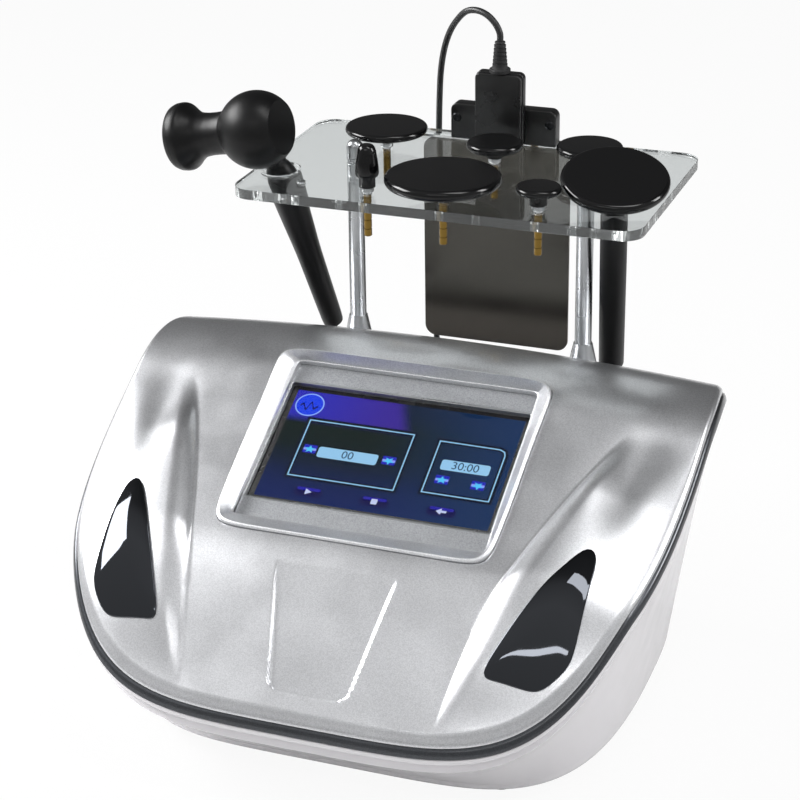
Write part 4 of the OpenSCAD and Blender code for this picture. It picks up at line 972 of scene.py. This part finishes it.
def inset(outline, width):
    """The outline moved inwards by that width, corners kept sharp."""
    points = []
    corners = [Vector(p) for p in outline]
    for before, here, after in zip([corners[-1], *corners], corners, [*corners[1:], corners[0]]):
        come, go = (here - before).normalized(), (after - here).normalized()
        inward = Vector((-come.y - go.y, come.x + go.x)).normalized()
        sharpness = max(0.3, inward.dot(Vector((-go.y, go.x))))
        points.append(tuple(here + inward * width / sharpness))
    return points


print("a star has", len(star(0, 0, 1, 1)), "points")


# %% Slabs that glow
def glow_piece(name, shapes, level, material):
    """Thin slabs on the display's face; a shape given as a pair is a line between two outlines."""
    points, faces = [], []
    for shape in shapes:
        pair = shape if isinstance(shape[0], list) else [shape]
        first, count = len(points), len(pair[0])
        for outline, n in [(o, n) for o in pair for n in (0.02, level)]:
            points += [on_screen(x, v, n) for x, v in outline]
        if len(pair) == 1:
            faces.append(list(range(first, first + count))[::-1])
            faces.append(list(range(first + count, first + 2 * count)))
            steps = [(0, 1)]
        else:
            steps = [(0, 1), (1, 3), (3, 2), (2, 0)]
        for low, high in steps:
            for k in range(count):
                j = (k + 1) % count
                faces.append((first + low * count + k, first + low * count + j,
                              first + high * count + j, first + high * count + k))
    return finish_piece(name, mesh_of(name, points, faces), material, "machine", ())


print("slabs lie on the plane of the display, tilted", round(degrees(TILT), 1), "degrees")

# %% The menu
glow_piece("menu_background", [oblong(-LCD_W / 2, LCD_W / 2, 0, LCD_H, 0.4)], 0.06, menu_glow)
left_box = [(-61.2, 18.5), (10.3, 18.5), (10.3, 63.8), (-61.2, 63.8)]
right_box = [(27.4, 20.8), (71.8, 20.8), (72.0, 57.0), (70.8, 60.2), (67.2, 61.8), (27.4, 62.0)]
boxes = (left_box, right_box)
round_key = oval(-65.5, 75.1, 9.8, 9.2)
glow_piece("menu_shade", [[inset(box, -1.8), inset(box, 2.0)] for box in boxes], 0.09,
           glowing("shade round the boxes", "#0a1426"))
glow_piece("menu_boxes", [[box, inset(box, 0.85)] for box in boxes], 0.13,
           glowing("pale blue line", "#8fc4ea"))
value_fields = [oblong(-47.5, -7.4, 35.5, 43.8, 1.6), oblong(33.7, 65.5, 40.0, 47.9, 1.6)]
glow_piece("menu_values", value_fields, 0.13, glowing("pale blue field", "#93c6ea"))
glow_piece("menu_round_key", [round_key], 0.12, glowing("bright blue", "#1d3fe2"))
glow_piece("menu_round_rim", [[round_key, inset(round_key, 0.9)]], 0.18,
           glowing("rim blue", "#86a8f4"))
ARROWS = ((-53.3, 40.8, 1), (0.1, 40.7, -1), (37.8, 32.4, 1), (61.4, 31.9, -1))     # x, v, way
KEYS = ((-43.1, 8.1), (0.9, 8.3), (44.6, 8.7))
glow_piece("menu_arrow_keys", [oblong(x - 4.4, x + 4.4, v - 3.2, v + 3.2) for x, v, _ in ARROWS],
           0.13, glowing("deep blue key", "#2427b4"))
glow_piece("menu_arrow_gleams", [oblong(x - 4.3, x + 4.3, v - 1.1, v + 0.7) for x, v, _ in ARROWS],
           0.17, glowing("key gleam", "#8a9df2"))
glow_piece("menu_stars", [star(x, v - 0.3, 3.0, way) for x, v, way in ARROWS], 0.21,
           glowing("cyan star", "#52c6f6"))
glow_piece("menu_keys", [oblong(x - 9.6, x + 9.6, v - 3.6, v + 3.4, 3.2) for x, v in KEYS], 0.13,
           glowing("navy key", "#101048"))
glow_piece("menu_key_gleams", [oblong(x - 7.8, x + 7.8, v + 0.9, v + 3.0, 1.0) for x, v in KEYS],
           0.17, glowing("navy key gleam", "#2523a0"))
play, stop = [(-1.8, -2.2), (2.4, 0), (-1.8, 2.2)], oblong(-2, 2, -2, 2)
back = [(-3.4, 0), (0, -2.4), (0, -0.8), (3.4, -0.8), (3.4, 0.8), (0, 0.8), (0, 2.4)]
glow_piece("menu_symbols", [[(key_x + x, key_v + v) for x, v in symbol]
                            for (key_x, key_v), symbol in zip(KEYS, (play, stop, back))], 0.21,
           glowing("key symbol", "#c3cdec"))
wave = [(-71.6 + 0.5 * k, 74.9 + 3.6 * sin(0.55 * k) * (1 - abs(k - 12) / 14)) for k in range(25)]
glow_piece("menu_wave", [[*wave, *[(x, v - 1.7) for x, v in wave[::-1]]]], 0.16,
           glowing("dark wave", "#0b1160"))
print(len(KEYS), "keys and", len(ARROWS), "arrow keys lit")


# %% The two values
def value_text(name, body, x, v, size):
    """Plain digits, turned into a mesh on the display."""
    letters = bpy.data.curves.new(name, "FONT")
    letters.body, letters.size, letters.extrude = body, size, 0.02
    letters.align_x, letters.align_y = "CENTER", "CENTER"
    scratch = bpy.data.objects.new(name, letters)
    bpy.context.scene.collection.objects.link(scratch)
    bpy.context.view_layer.update()
    mesh = bpy.data.meshes.new_from_object(
        scratch.evaluated_get(bpy.context.evaluated_depsgraph_get()))
    bpy.data.objects.remove(scratch)
    mesh.transform(Matrix.Scale(MM, 4) @ SCREEN_STAND @ Matrix.Translation(Vector((x, v, 0.2))))
    finish_piece(name, mesh, value_glow, "machine", ())


value_glow = glowing("value digits", "#2c4a6a")
value_text("menu_level", "00", -27.4, 39.6, 8.2)
value_text("menu_minutes", "30:00", 49.6, 43.9, 8.2)
print("two values written")

# %% The touch glass and the bead of its window
glass_side = (LCD_W + 5) / 2
block("front_glass", [(-glass_side, -2.5), (glass_side, -2.5), (glass_side, LCD_H + 2.5),
                      (-glass_side, LCD_H + 2.5)], 0.5, 1.2, screen_glass, "machine",
      ("touch_glass",), SCREEN_STAND).visible_shadow = False
window_edge = [(x, v + LCD_H / 2 - 1) for x, v in rounded_box(LCD_W + 7, LCD_H + 6.5, 1.5)]
bead_line = ((0, 1.3), (0, 4.8), (0.3, 5.1), (0.8, 5.2), (1.3, 5.1), (1.6, 4.7), (0.4, 4.4))
bead = [[on_screen(x, v, n) for x, v in inset(window_edge, -width)] for width, n in bead_line]
finish_piece("window_bead", ring_mesh("window_bead", bead, loop=True), satin_chrome, "machine",
             ())
print("display", LCD_W, "by", LCD_H, "mm behind its glass")

# %% [markdown]
# ## Chrome inlays
# Two mirror-bright plates follow the mounds. They are slightly domed, so they gather the room into
# bent streaks, the sign of plated metal. The outline is a smooth blend of five flat sides.

# %% The inlays
INLAY_CENTRE = (136, -106)
INLAY_SIDES = ((0, 17.5), (70, 46.5), (149.6, 16), (270, 26), (315, 20.5))
INLAY_LIFT, INLAY_H, INLAY_CROWN, INLAY_SQUARE, INLAY_POINTS = 0.8, 1.3, 2.4, 9, 144


def inlay_reach(angle):
    """From the centre to the edge; each side is (direction in degrees, distance)."""
    total = sum(max(0, cos(radians(angle - faces_to)) / away) ** INLAY_SQUARE
                for faces_to, away in INLAY_SIDES)
    return total ** (-1 / INLAY_SQUARE)


def inlay(name, side, stands_for):
    """Rings from the underside over the edge to the domed face, all following the mound."""
    crest = INLAY_LIFT + INLAY_H
    edge = [(0.25, INLAY_LIFT), (0.6, INLAY_LIFT), (0.97, INLAY_LIFT), (1, INLAY_LIFT + 0.4),
            (0.998, crest - 0.3), (0.985, crest - 0.05), (0.965, crest)]
    dome = [(1 - k / 12, crest + INLAY_CROWN * (1 - (1 - k / 12) ** 2)) for k in range(1, 12)]
    rings = []
    for scale, lift in edge + dome:
        ring = []
        for k in range(INLAY_POINTS):
            a = 360 * k / INLAY_POINTS
            d = inlay_reach(a) * scale
            x, y = INLAY_CENTRE[0] + d * cos(radians(a)), INLAY_CENTRE[1] + d * sin(radians(a))
            ring.append((side * x, y, cover_z(x, y) + lift))
        rings.append(ring)
    finish_piece(name, ring_mesh(name, rings), chrome, "machine", (stands_for,),
                 sharp=60)


inlay("left_inlay", -1, "pod_inlay_left")
inlay("right_inlay", 1, "pod_inlay_right")
print("inlays", INLAY_LIFT + INLAY_H + INLAY_CROWN, "mm over the mounds at their middle")

# %% [markdown]
# ## Posts, feet and caps of the shelf
# The shelf stands on two turned posts. Each has a cone foot that follows the slope of the cover and
# a dome cap above the shelf. They are lathe work, so their profiles are turned round an axis; only
# the lowest ring of a foot bends to the cover.

# %% Seats of the posts
POST_X, POST_Y, POST_R, CONE_R, CONE_H, CAP_H = 80.3, 150, 5.6, 9.6, 20.5, 14.4
SHELF_TOP, SHELF_T = 305.6, 6.6
SHELF_LOW = SHELF_TOP - SHELF_T
SEAT_GAP = 0.35                     # a foot stands this far off the paint
SEAT_Z = bare_z(POST_X, POST_Y) + SEAT_GAP
CONE_TOP = SEAT_Z + CONE_H
SIDES = 96


def foot_ring(place, radius, seated):
    """A ring round a post; a seated one lies on the cover."""
    ring = []
    for k in range(SIDES):
        a = 2 * pi * k / SIDES
        x, y = place[0] + radius * cos(a), place[1] + radius * sin(a)
        ring.append((x, y, (bare_z(x, y) + SEAT_GAP) if seated else 0.0))
    return ring


print("post seat at", round(SEAT_Z), "mm")

# %% Posts, feet and caps
for side, where in ((-1, "left"), (1, "right")):
    place = (side * POST_X, POST_Y)
    stand = Matrix.Translation(Vector((*place, 0)))
    turned(where + "_post", [(0, SEAT_Z - 9), (POST_R, SEAT_Z - 9), (POST_R, SHELF_LOW - 0.4),
                             (POST_R - 0.4, SHELF_LOW), (0, SHELF_LOW)], satin_chrome, "machine",
           ("shelf_posts",), stand)
    bottom = foot_ring(place, CONE_R, True)
    rings = [foot_ring(place, POST_R + 0.2, True), foot_ring(place, CONE_R - 0.5, True),
             [(x, y, z + 0.6) for x, y, z in bottom]]
    for radius, height in softened([(CONE_R, SEAT_Z + 3.2), (CONE_R, SEAT_Z + 5),
                                    (POST_R + 0.7, CONE_TOP), (POST_R + 0.2, CONE_TOP)], 0.8):
        rings.append([(x, y, height) for x, y, _ in foot_ring(place, radius, False)])
    finish_piece(where + "_post_foot", ring_mesh(where + "_post_foot", rings), satin_chrome,
                 "machine", ("post_feet",))
    dome = [(POST_R * cos(radians(a)), SHELF_TOP + CAP_H - POST_R + POST_R * sin(radians(a)))
            for a in range(0, 90, 6)]
    cap = [(0, SHELF_TOP), (POST_R - 0.3, SHELF_TOP), (POST_R, SHELF_TOP + 0.3),
           (POST_R, SHELF_TOP + 1.6), (POST_R - 0.4, SHELF_TOP + 1.9), (POST_R, SHELF_TOP + 2.2),
           *dome, (0, SHELF_TOP + CAP_H)]
    turned(where + "_post_cap", cap, satin_chrome, "machine", ("post_caps",), stand)
print("caps reach", SHELF_TOP + CAP_H, "mm")

# %% [markdown]
# ## Plug-in tips
# Six black heads, turned from acetal, stand in holes of the shelf on brass pins. A pin has a bright
# collar that rests on the shelf and three grooves for the spring of the hand piece. A head is a
# disc with a full round rim on a short neck, or a bullet. Discs have a satin face from the facing
# cut.

# %% Profiles of pins and discs
PIN_R, PIN_REACH, COLLAR_H = 2.6, 23.6, 3


def pin_profile():
    """A pin through the shelf, with three grooves."""
    low = SHELF_LOW - PIN_REACH
    line = [(0, low), (PIN_R - 0.5, low), (PIN_R, low + 0.5)]
    for k in range(3):
        groove = low + 5 + 6 * k
        line += [(PIN_R, groove - 0.1), (PIN_R - 0.4, groove + 0.1), (PIN_R - 0.4, groove + 0.7),
                 (PIN_R, groove + 0.9)]
    return line + [(PIN_R, SHELF_TOP), (0, SHELF_TOP)]


def disc_profile(radius, high, thick, neck=5.6):
    """A round-rimmed disc on a neck that flares into it."""
    rim_mid, rim_r = radius - thick * 0.45, thick / 2
    line = [(neck - 0.5, 0), (neck, 0.5), (neck, high - thick - 2.2),
            (neck + 1.2, high - thick - 1), (radius * 0.45, high - thick),
            (radius - thick * 0.5, high - thick)]
    line += [(rim_mid + 0.45 * thick * cos(radians(a)), high - thick / 2 + rim_r * sin(radians(a)))
             for a in range(-80, 81, 10)]
    return [(0, 0)] + line + [(radius - thick * 0.55, high - 0.02), (radius - thick * 0.62, high),
                              (0, high)]


print("pins reach", PIN_REACH, "mm below the shelf")

# %% The six tips
bullet = [(0, 0), (5.0, 0), (5.4, 0.4), (5.4, 5.6), (5.9, 6.6), (7.4, 8), (7.75, 9.4), (7.7, 11.5),
          (7.4, 15), (7.0, 18.5)]
bullet += [(2.8 + 3.6 * cos(radians(a)), 21.5 + 6.9 * sin(radians(a))) for a in range(5, 90, 7)]
bullet += [(0, 28.4)]
TIPS = (("tip_cone", (-49, 92), bullet), ("tip_large", (2.7, 92), disc_profile(37.6, 14.1, 7)),
        ("tip_small", (66, 92), disc_profile(14.6, 13, 5)),
        ("tip_left_rear", (-70.8, 185), disc_profile(28, 12, 5)),
        ("tip_middle_rear", (9.7, 175), disc_profile(19, 11.6, 6)),
        ("tip_right_rear", (73.5, 181), disc_profile(22, 13.4, 5.5)))
for name, (x, y), head in TIPS:
    turned(name + "_black_head", head, disc_acetal, name, (name + "_head",),
           Matrix.Translation(Vector((x, y, SHELF_TOP + COLLAR_H))), sharp=35)
    turned(name + "_brass_pin", pin_profile(), brass, name, (name + "_pin",),
           Matrix.Translation(Vector((x, y, 0))), sides=48, sharp=35)
    turned(name + "_collar", softened([(0, 0), (PIN_R + 1.7, 0), (PIN_R + 1.7, COLLAR_H),
                                       (0, COLLAR_H)], 0.4), satin_chrome, name, (),
           Matrix.Translation(Vector((x, y, SHELF_TOP))), sides=48)
print(len(TIPS), "tips")

# %% [markdown]
# ## The two hand pieces
# Both lean in slots of the shelf. The left one is a tapered grip with a ball head that runs out
# into a bell; the right one is a plain grip with a large disc. Their curves are spline lines
# through a few measured points, turned round the axis, as on a copying lathe.

# %% Stands and profiles
def leaning(place, back_lean, side_lean):
    """Stand on the shelf whose own z leans back and to the side."""
    return (Matrix.Translation(Vector((*place, SHELF_TOP)))
            @ Matrix.Rotation(radians(side_lean), 4, "Y")
            @ Matrix.Rotation(radians(back_lean), 4, "X"))


def flowing(points, per=6):
    """Smooth profile through a few of its points."""
    return [(p.x, p.y) for p in through([(*p, 0) for p in points], per)]


def ribs(count, start, pitch, radius, change, width, depth):
    """Profile of moulded ribs along a sleeve, with a groove after each."""
    line = []
    for k in range(count):
        z, r = start + k * pitch, radius + k * change
        line += [(r, z), (r, z + width), (r - depth, z + width + 0.2), (r - depth, z + pitch - 0.2)]
    return line


print("three ribs take", round(ribs(3, 0, 2.4, 3, 0, 1.3, 0.7)[-1][1], 1), "mm")

# %% The left hand piece
LEFT_STAND = leaning((-120.5, 115.7), 25.4, -4.2)
LEFT_GRIP_R, TAIL_DROP = 11.6, 141
BALL_R, BALL_MID, FLAT_CUT, BELL_R, BELL_DROOP = 25.8, (-6.1, 34.7), 18.6, 22.6, 8
left_line = flowing([(6.4, -TAIL_DROP), (7.4, -TAIL_DROP + 1.2), (8.6, -80), (9.9, -52),
                     (LEFT_GRIP_R - 0.5, -28), (LEFT_GRIP_R, -14), (LEFT_GRIP_R - 1.2, -5),
                     (8.6, 1), (6.8, 5), (6.4, 8), (6.4, 20)])
turned("left_grip", [(0, -TAIL_DROP), *left_line, (0, 20)], grip_abs, "left_hand_piece",
       ("left_handle_grip",), LEFT_STAND)
head_stand = (LEFT_STAND @ Matrix.Translation(Vector((BALL_MID[0], 0, BALL_MID[1])))
              @ Matrix.Rotation(radians(-90 - BELL_DROOP), 4, "Y"))
FLAT_ANGLE, BALL_ARC, BALL_STEPS = -46, 97.5, 26
ball_turns = [radians(FLAT_ANGLE + k * BALL_ARC / BALL_STEPS) for k in range(BALL_STEPS + 1)]
ball = [(BALL_R * cos(a), BALL_R * sin(a)) for a in ball_turns]
bell = flowing([(14.5, 22.5), (14.1, 26.5), (14, 31), (14.2, 36), (15.4, 42), (BELL_R - 3.6, 47.5),
                (BELL_R - 0.6, 51), (BELL_R, 53.5), (BELL_R - 0.2, 56)], 5)
turned("left_head", [(0, -FLAT_CUT), (ball[0][0] - 0.8, -FLAT_CUT), *ball, (14.8, 21.5), *bell,
                     *softened([(BELL_R - 0.3, 57), (BELL_R - 1.6, 60.2), (BELL_R - 5, 60.5),
                                (0, 60.8)], 1.2)],
       grip_abs, "left_hand_piece", ("left_handle_head",), head_stand, 128, 30)
print("ball", 2 * BALL_R, "mm across")

# %% The right hand piece and both glands
RIGHT_STAND = leaning((105.9, 125.7), 20.9, 5.6)
RIGHT_GRIP_R, RIGHT_DROP, RIGHT_NECK = 8.8, 146, 6.8
right_line = [(0, -RIGHT_DROP), (RIGHT_GRIP_R - 1, -RIGHT_DROP),
              (RIGHT_GRIP_R - 0.3, -RIGHT_DROP + 2), (RIGHT_GRIP_R, -60), (RIGHT_GRIP_R, -4),
              (RIGHT_GRIP_R - 1, 1), (6.4, 4), (6.4, RIGHT_NECK), (0, RIGHT_NECK)]
turned("right_grip", softened(right_line, 0.8), grip_abs, "right_hand_piece",
       ("right_handle_grip",), RIGHT_STAND)
disc_stand = (RIGHT_STAND @ Matrix.Translation(Vector((0, 0, RIGHT_NECK + 0.1)))
              @ Matrix.Rotation(radians(0.7), 4, "Y") @ Matrix.Rotation(radians(-5.7), 4, "X"))
big_disc = disc_profile(34.7, 11.8, 7, 5.2)
turned("right_disc", [(0, 0.6), *[p for p in big_disc[1:] if p[1] > 0.6]], disc_acetal,
       "right_hand_piece", ("right_handle_disc",), disc_stand, 128, 35)
for name, stand, low, end, body in (("left", LEFT_STAND, TAIL_DROP, 149, "left_hand_piece"),
                                    ("right", RIGHT_STAND, RIGHT_DROP, 154, "right_hand_piece")):
    turned(name + "_gland", [(0, -end), (2.2, -end), *ribs(3, 0.6 - end, 2.4, 3.4, 0.3, 1.3, 0.7),
                             (4.6, -low), (0, -low)], rubber, body,
           (name + "_handle_gland",), stand, 48, 30)
print("disc", round(2 * max(r for r, z in big_disc), 1), "mm across")

# %% [markdown]
# ## Bracket, plug block and boot of the return plate
# The steel plate hangs from a glossy black bracket with two screws. In front of it stands the plug:
# two moulded halves with rounded corners, and a ribbed boot that keeps the cord from kinking.

# %% The plug
PLATE_Y, BRACKET_T, BRACKET_W, BRACKET_H, BRACKET_X = 221, 10, 75, 25, 2
BLOCK_X, BLOCK_H, BLOCK_W, BLOCK_T = 1.4, 51, 33.6, 10
BLOCK_Y = PLATE_Y - BRACKET_T / 2 - BLOCK_T / 2


def upright(x, y, z):
    """Stand whose own x is across, y is up and z points to the front."""
    return Matrix.Translation(Vector((x, y, z))) @ Matrix.Rotation(radians(90), 4, "X")


back_half = [(x, y + BLOCK_H / 2) for x, y in rounded_box(BLOCK_W, BLOCK_H, 4)]
front_half = [(x, y + BLOCK_H / 2 - 0.2) for x, y in rounded_box(BLOCK_W - 1.2, BLOCK_H - 0.6, 3.6)]
block("plug_back", back_half, -BLOCK_T / 2, 0.9, black_abs, "return_electrode",
      ("return_plug_block",), upright(BLOCK_X, BLOCK_Y, SHELF_TOP), 0.7)
block("plug_front", front_half, 0.9, BLOCK_T / 2, black_abs, "return_electrode", (),
      upright(BLOCK_X, BLOCK_Y, SHELF_TOP), 0.9)
BOOT_H = 21
boot_line = [(0, 0), (7.2, 0), (7.2, 2.2), (6.8, 2.6), (5.6, 2.7), (5.2, 4),
             *ribs(6, 4.4, 2.6, 5.1, -0.22, 1.5, 0.8),
             (CORD_R + 1.5, BOOT_H - 0.6), (CORD_R + 1.2, BOOT_H), (0, BOOT_H)]
turned("ribbed_boot", boot_line, rubber, "return_electrode", ("return_boot",),
       Matrix.Translation(Vector((BLOCK_X, BLOCK_Y, SHELF_TOP + BLOCK_H))), 48, 30)
print("plug", BLOCK_W, "mm wide, boot", BOOT_H, "mm long")

# %% The bracket and its screws
lip = [(x, y + BRACKET_H / 2) for x, y in rounded_box(BRACKET_W, BRACKET_H, 5)]
bracket_outline = [p for p in lip if p[1] > BRACKET_H / 2 - 1]     # round above, square below
bracket_outline += [(-BRACKET_W / 2, 0), (BRACKET_W / 2, 0)]
block("bracket", bracket_outline, -BRACKET_T / 2, BRACKET_T / 2, black_abs, "return_electrode",
      ("return_bracket",), upright(BRACKET_X, PLATE_Y, SHELF_TOP), 0.8)
SCREW_X = 33                        # mm from the bracket's middle
screw_line = [(0, 0.05), (3.2, 0.05), (3.2, 0.4), (2.9, 0.8), (2.2, 1.15), (1.5, 1.2), (1.5, 0.5),
              (0, 0.5)]
for where, x in (("left", BRACKET_X - SCREW_X), ("right", BRACKET_X + SCREW_X)):
    stand = upright(x, PLATE_Y - BRACKET_T / 2, SHELF_TOP + BRACKET_H * 0.6)
    turned("bracket_screw_" + where, screw_line, black_oxide, "return_electrode",
           ("bracket_screws",), stand, 32, 30)
print("bracket", BRACKET_W, "mm wide")

# %% [markdown]
# ## The cord's connector
# The far end goes into the first socket of the back panel: a round plug with a tapering, ribbed
# sleeve.

# %% The connector
PANEL_OUT = BACK_WALL_Y + PANEL_T
SOCKET = (-16, PANEL_LOW + 24)


def panel_stand(x, z):
    """Stand on the back panel whose own z points to the back."""
    return Matrix.Translation(Vector((x, PANEL_OUT, z))) @ Matrix.Rotation(radians(-90), 4, "X")


sleeve = [(0, -9.5), (5.7, -9.5), (5.9, -9.2), (5.9, 1.8), (6.1, 2), (6.1, 7.6), (5.6, 8),
          (5.3, 8.4), *ribs(5, 9, 2.4, 5.2, -0.45, 1.4, 0.7), (CORD_R + 0.5, 21.9), (0, 22)]
plug = turned("cord_connector", sleeve, grip_abs, "machine", ("return_connector",),
              panel_stand(*SOCKET), 48, 30)
print("the cord ends", round((Vector(tail[-1]) - Vector((SOCKET[0], PANEL_OUT, SOCKET[1]))).length),
      "mm behind the panel, in its sleeve")

# %% [markdown]
# ## Finishes of the plain solids
# Parts whose own shape is right keep their solid. They get a finish, and where their edges show a
# small bevel, because an edge without one catches no light.

# %% Finishes and bevels of kept solids
KEPT = {                            # finish, and bevel in mm
    "screen_mask": (mask_paint, 0.3), "lcd_panel": (black_abs, 0),
    "display_board": (board_lacquer, 0), "rubber_feet": (rubber, 0.4),
    "housing_screws": (screw_steel, 0.2), "cover_columns": (brass, 0),
    "rear_panel": (panel_paint, 0.2), "rear_panel_screws": (screw_steel, 0.15),
    "power_inlet": (black_abs, 0.3), "fuse_drawer": (black_abs, 0.3),
    "rocker_frame": (black_abs, 0.3), "rocker_switch": (red_plastic, 0.3),
    "output_sockets": (dark_nylon, 0.3), "fan_frame": (grip_abs, 0.3),
    "fan_guard": (screw_steel, 0.2), "fan_rotor": (grip_abs, 0.2),
    "board_standoffs": (brass, 0), "power_supply": (board_lacquer, 0),
    "rf_board": (board_lacquer, 0), "control_board": (board_lacquer, 0),
    "shelf_plate": (acrylic, 0.5), "post_nuts": (screw_steel, 0.1), "return_plate": (steel, 0.2)}
for name, (material, edge) in KEPT.items():
    solid = nodes[name]
    if not solid.material_slots:
        solid.data.materials.append(material)
    for place in solid.material_slots:
        place.material = material
    if edge:
        weld = solid.modifiers.new("weld", "WELD")
        weld.merge_threshold = 0.002 * MM
        bevel = solid.modifiers.new("edges", "BEVEL")
        bevel.width, bevel.segments = edge * MM, 2
        bevel.limit_method, bevel.angle_limit = "ANGLE", radians(35)
nodes["shelf_plate"].visible_shadow = False
print(len(KEPT), "solids finished")
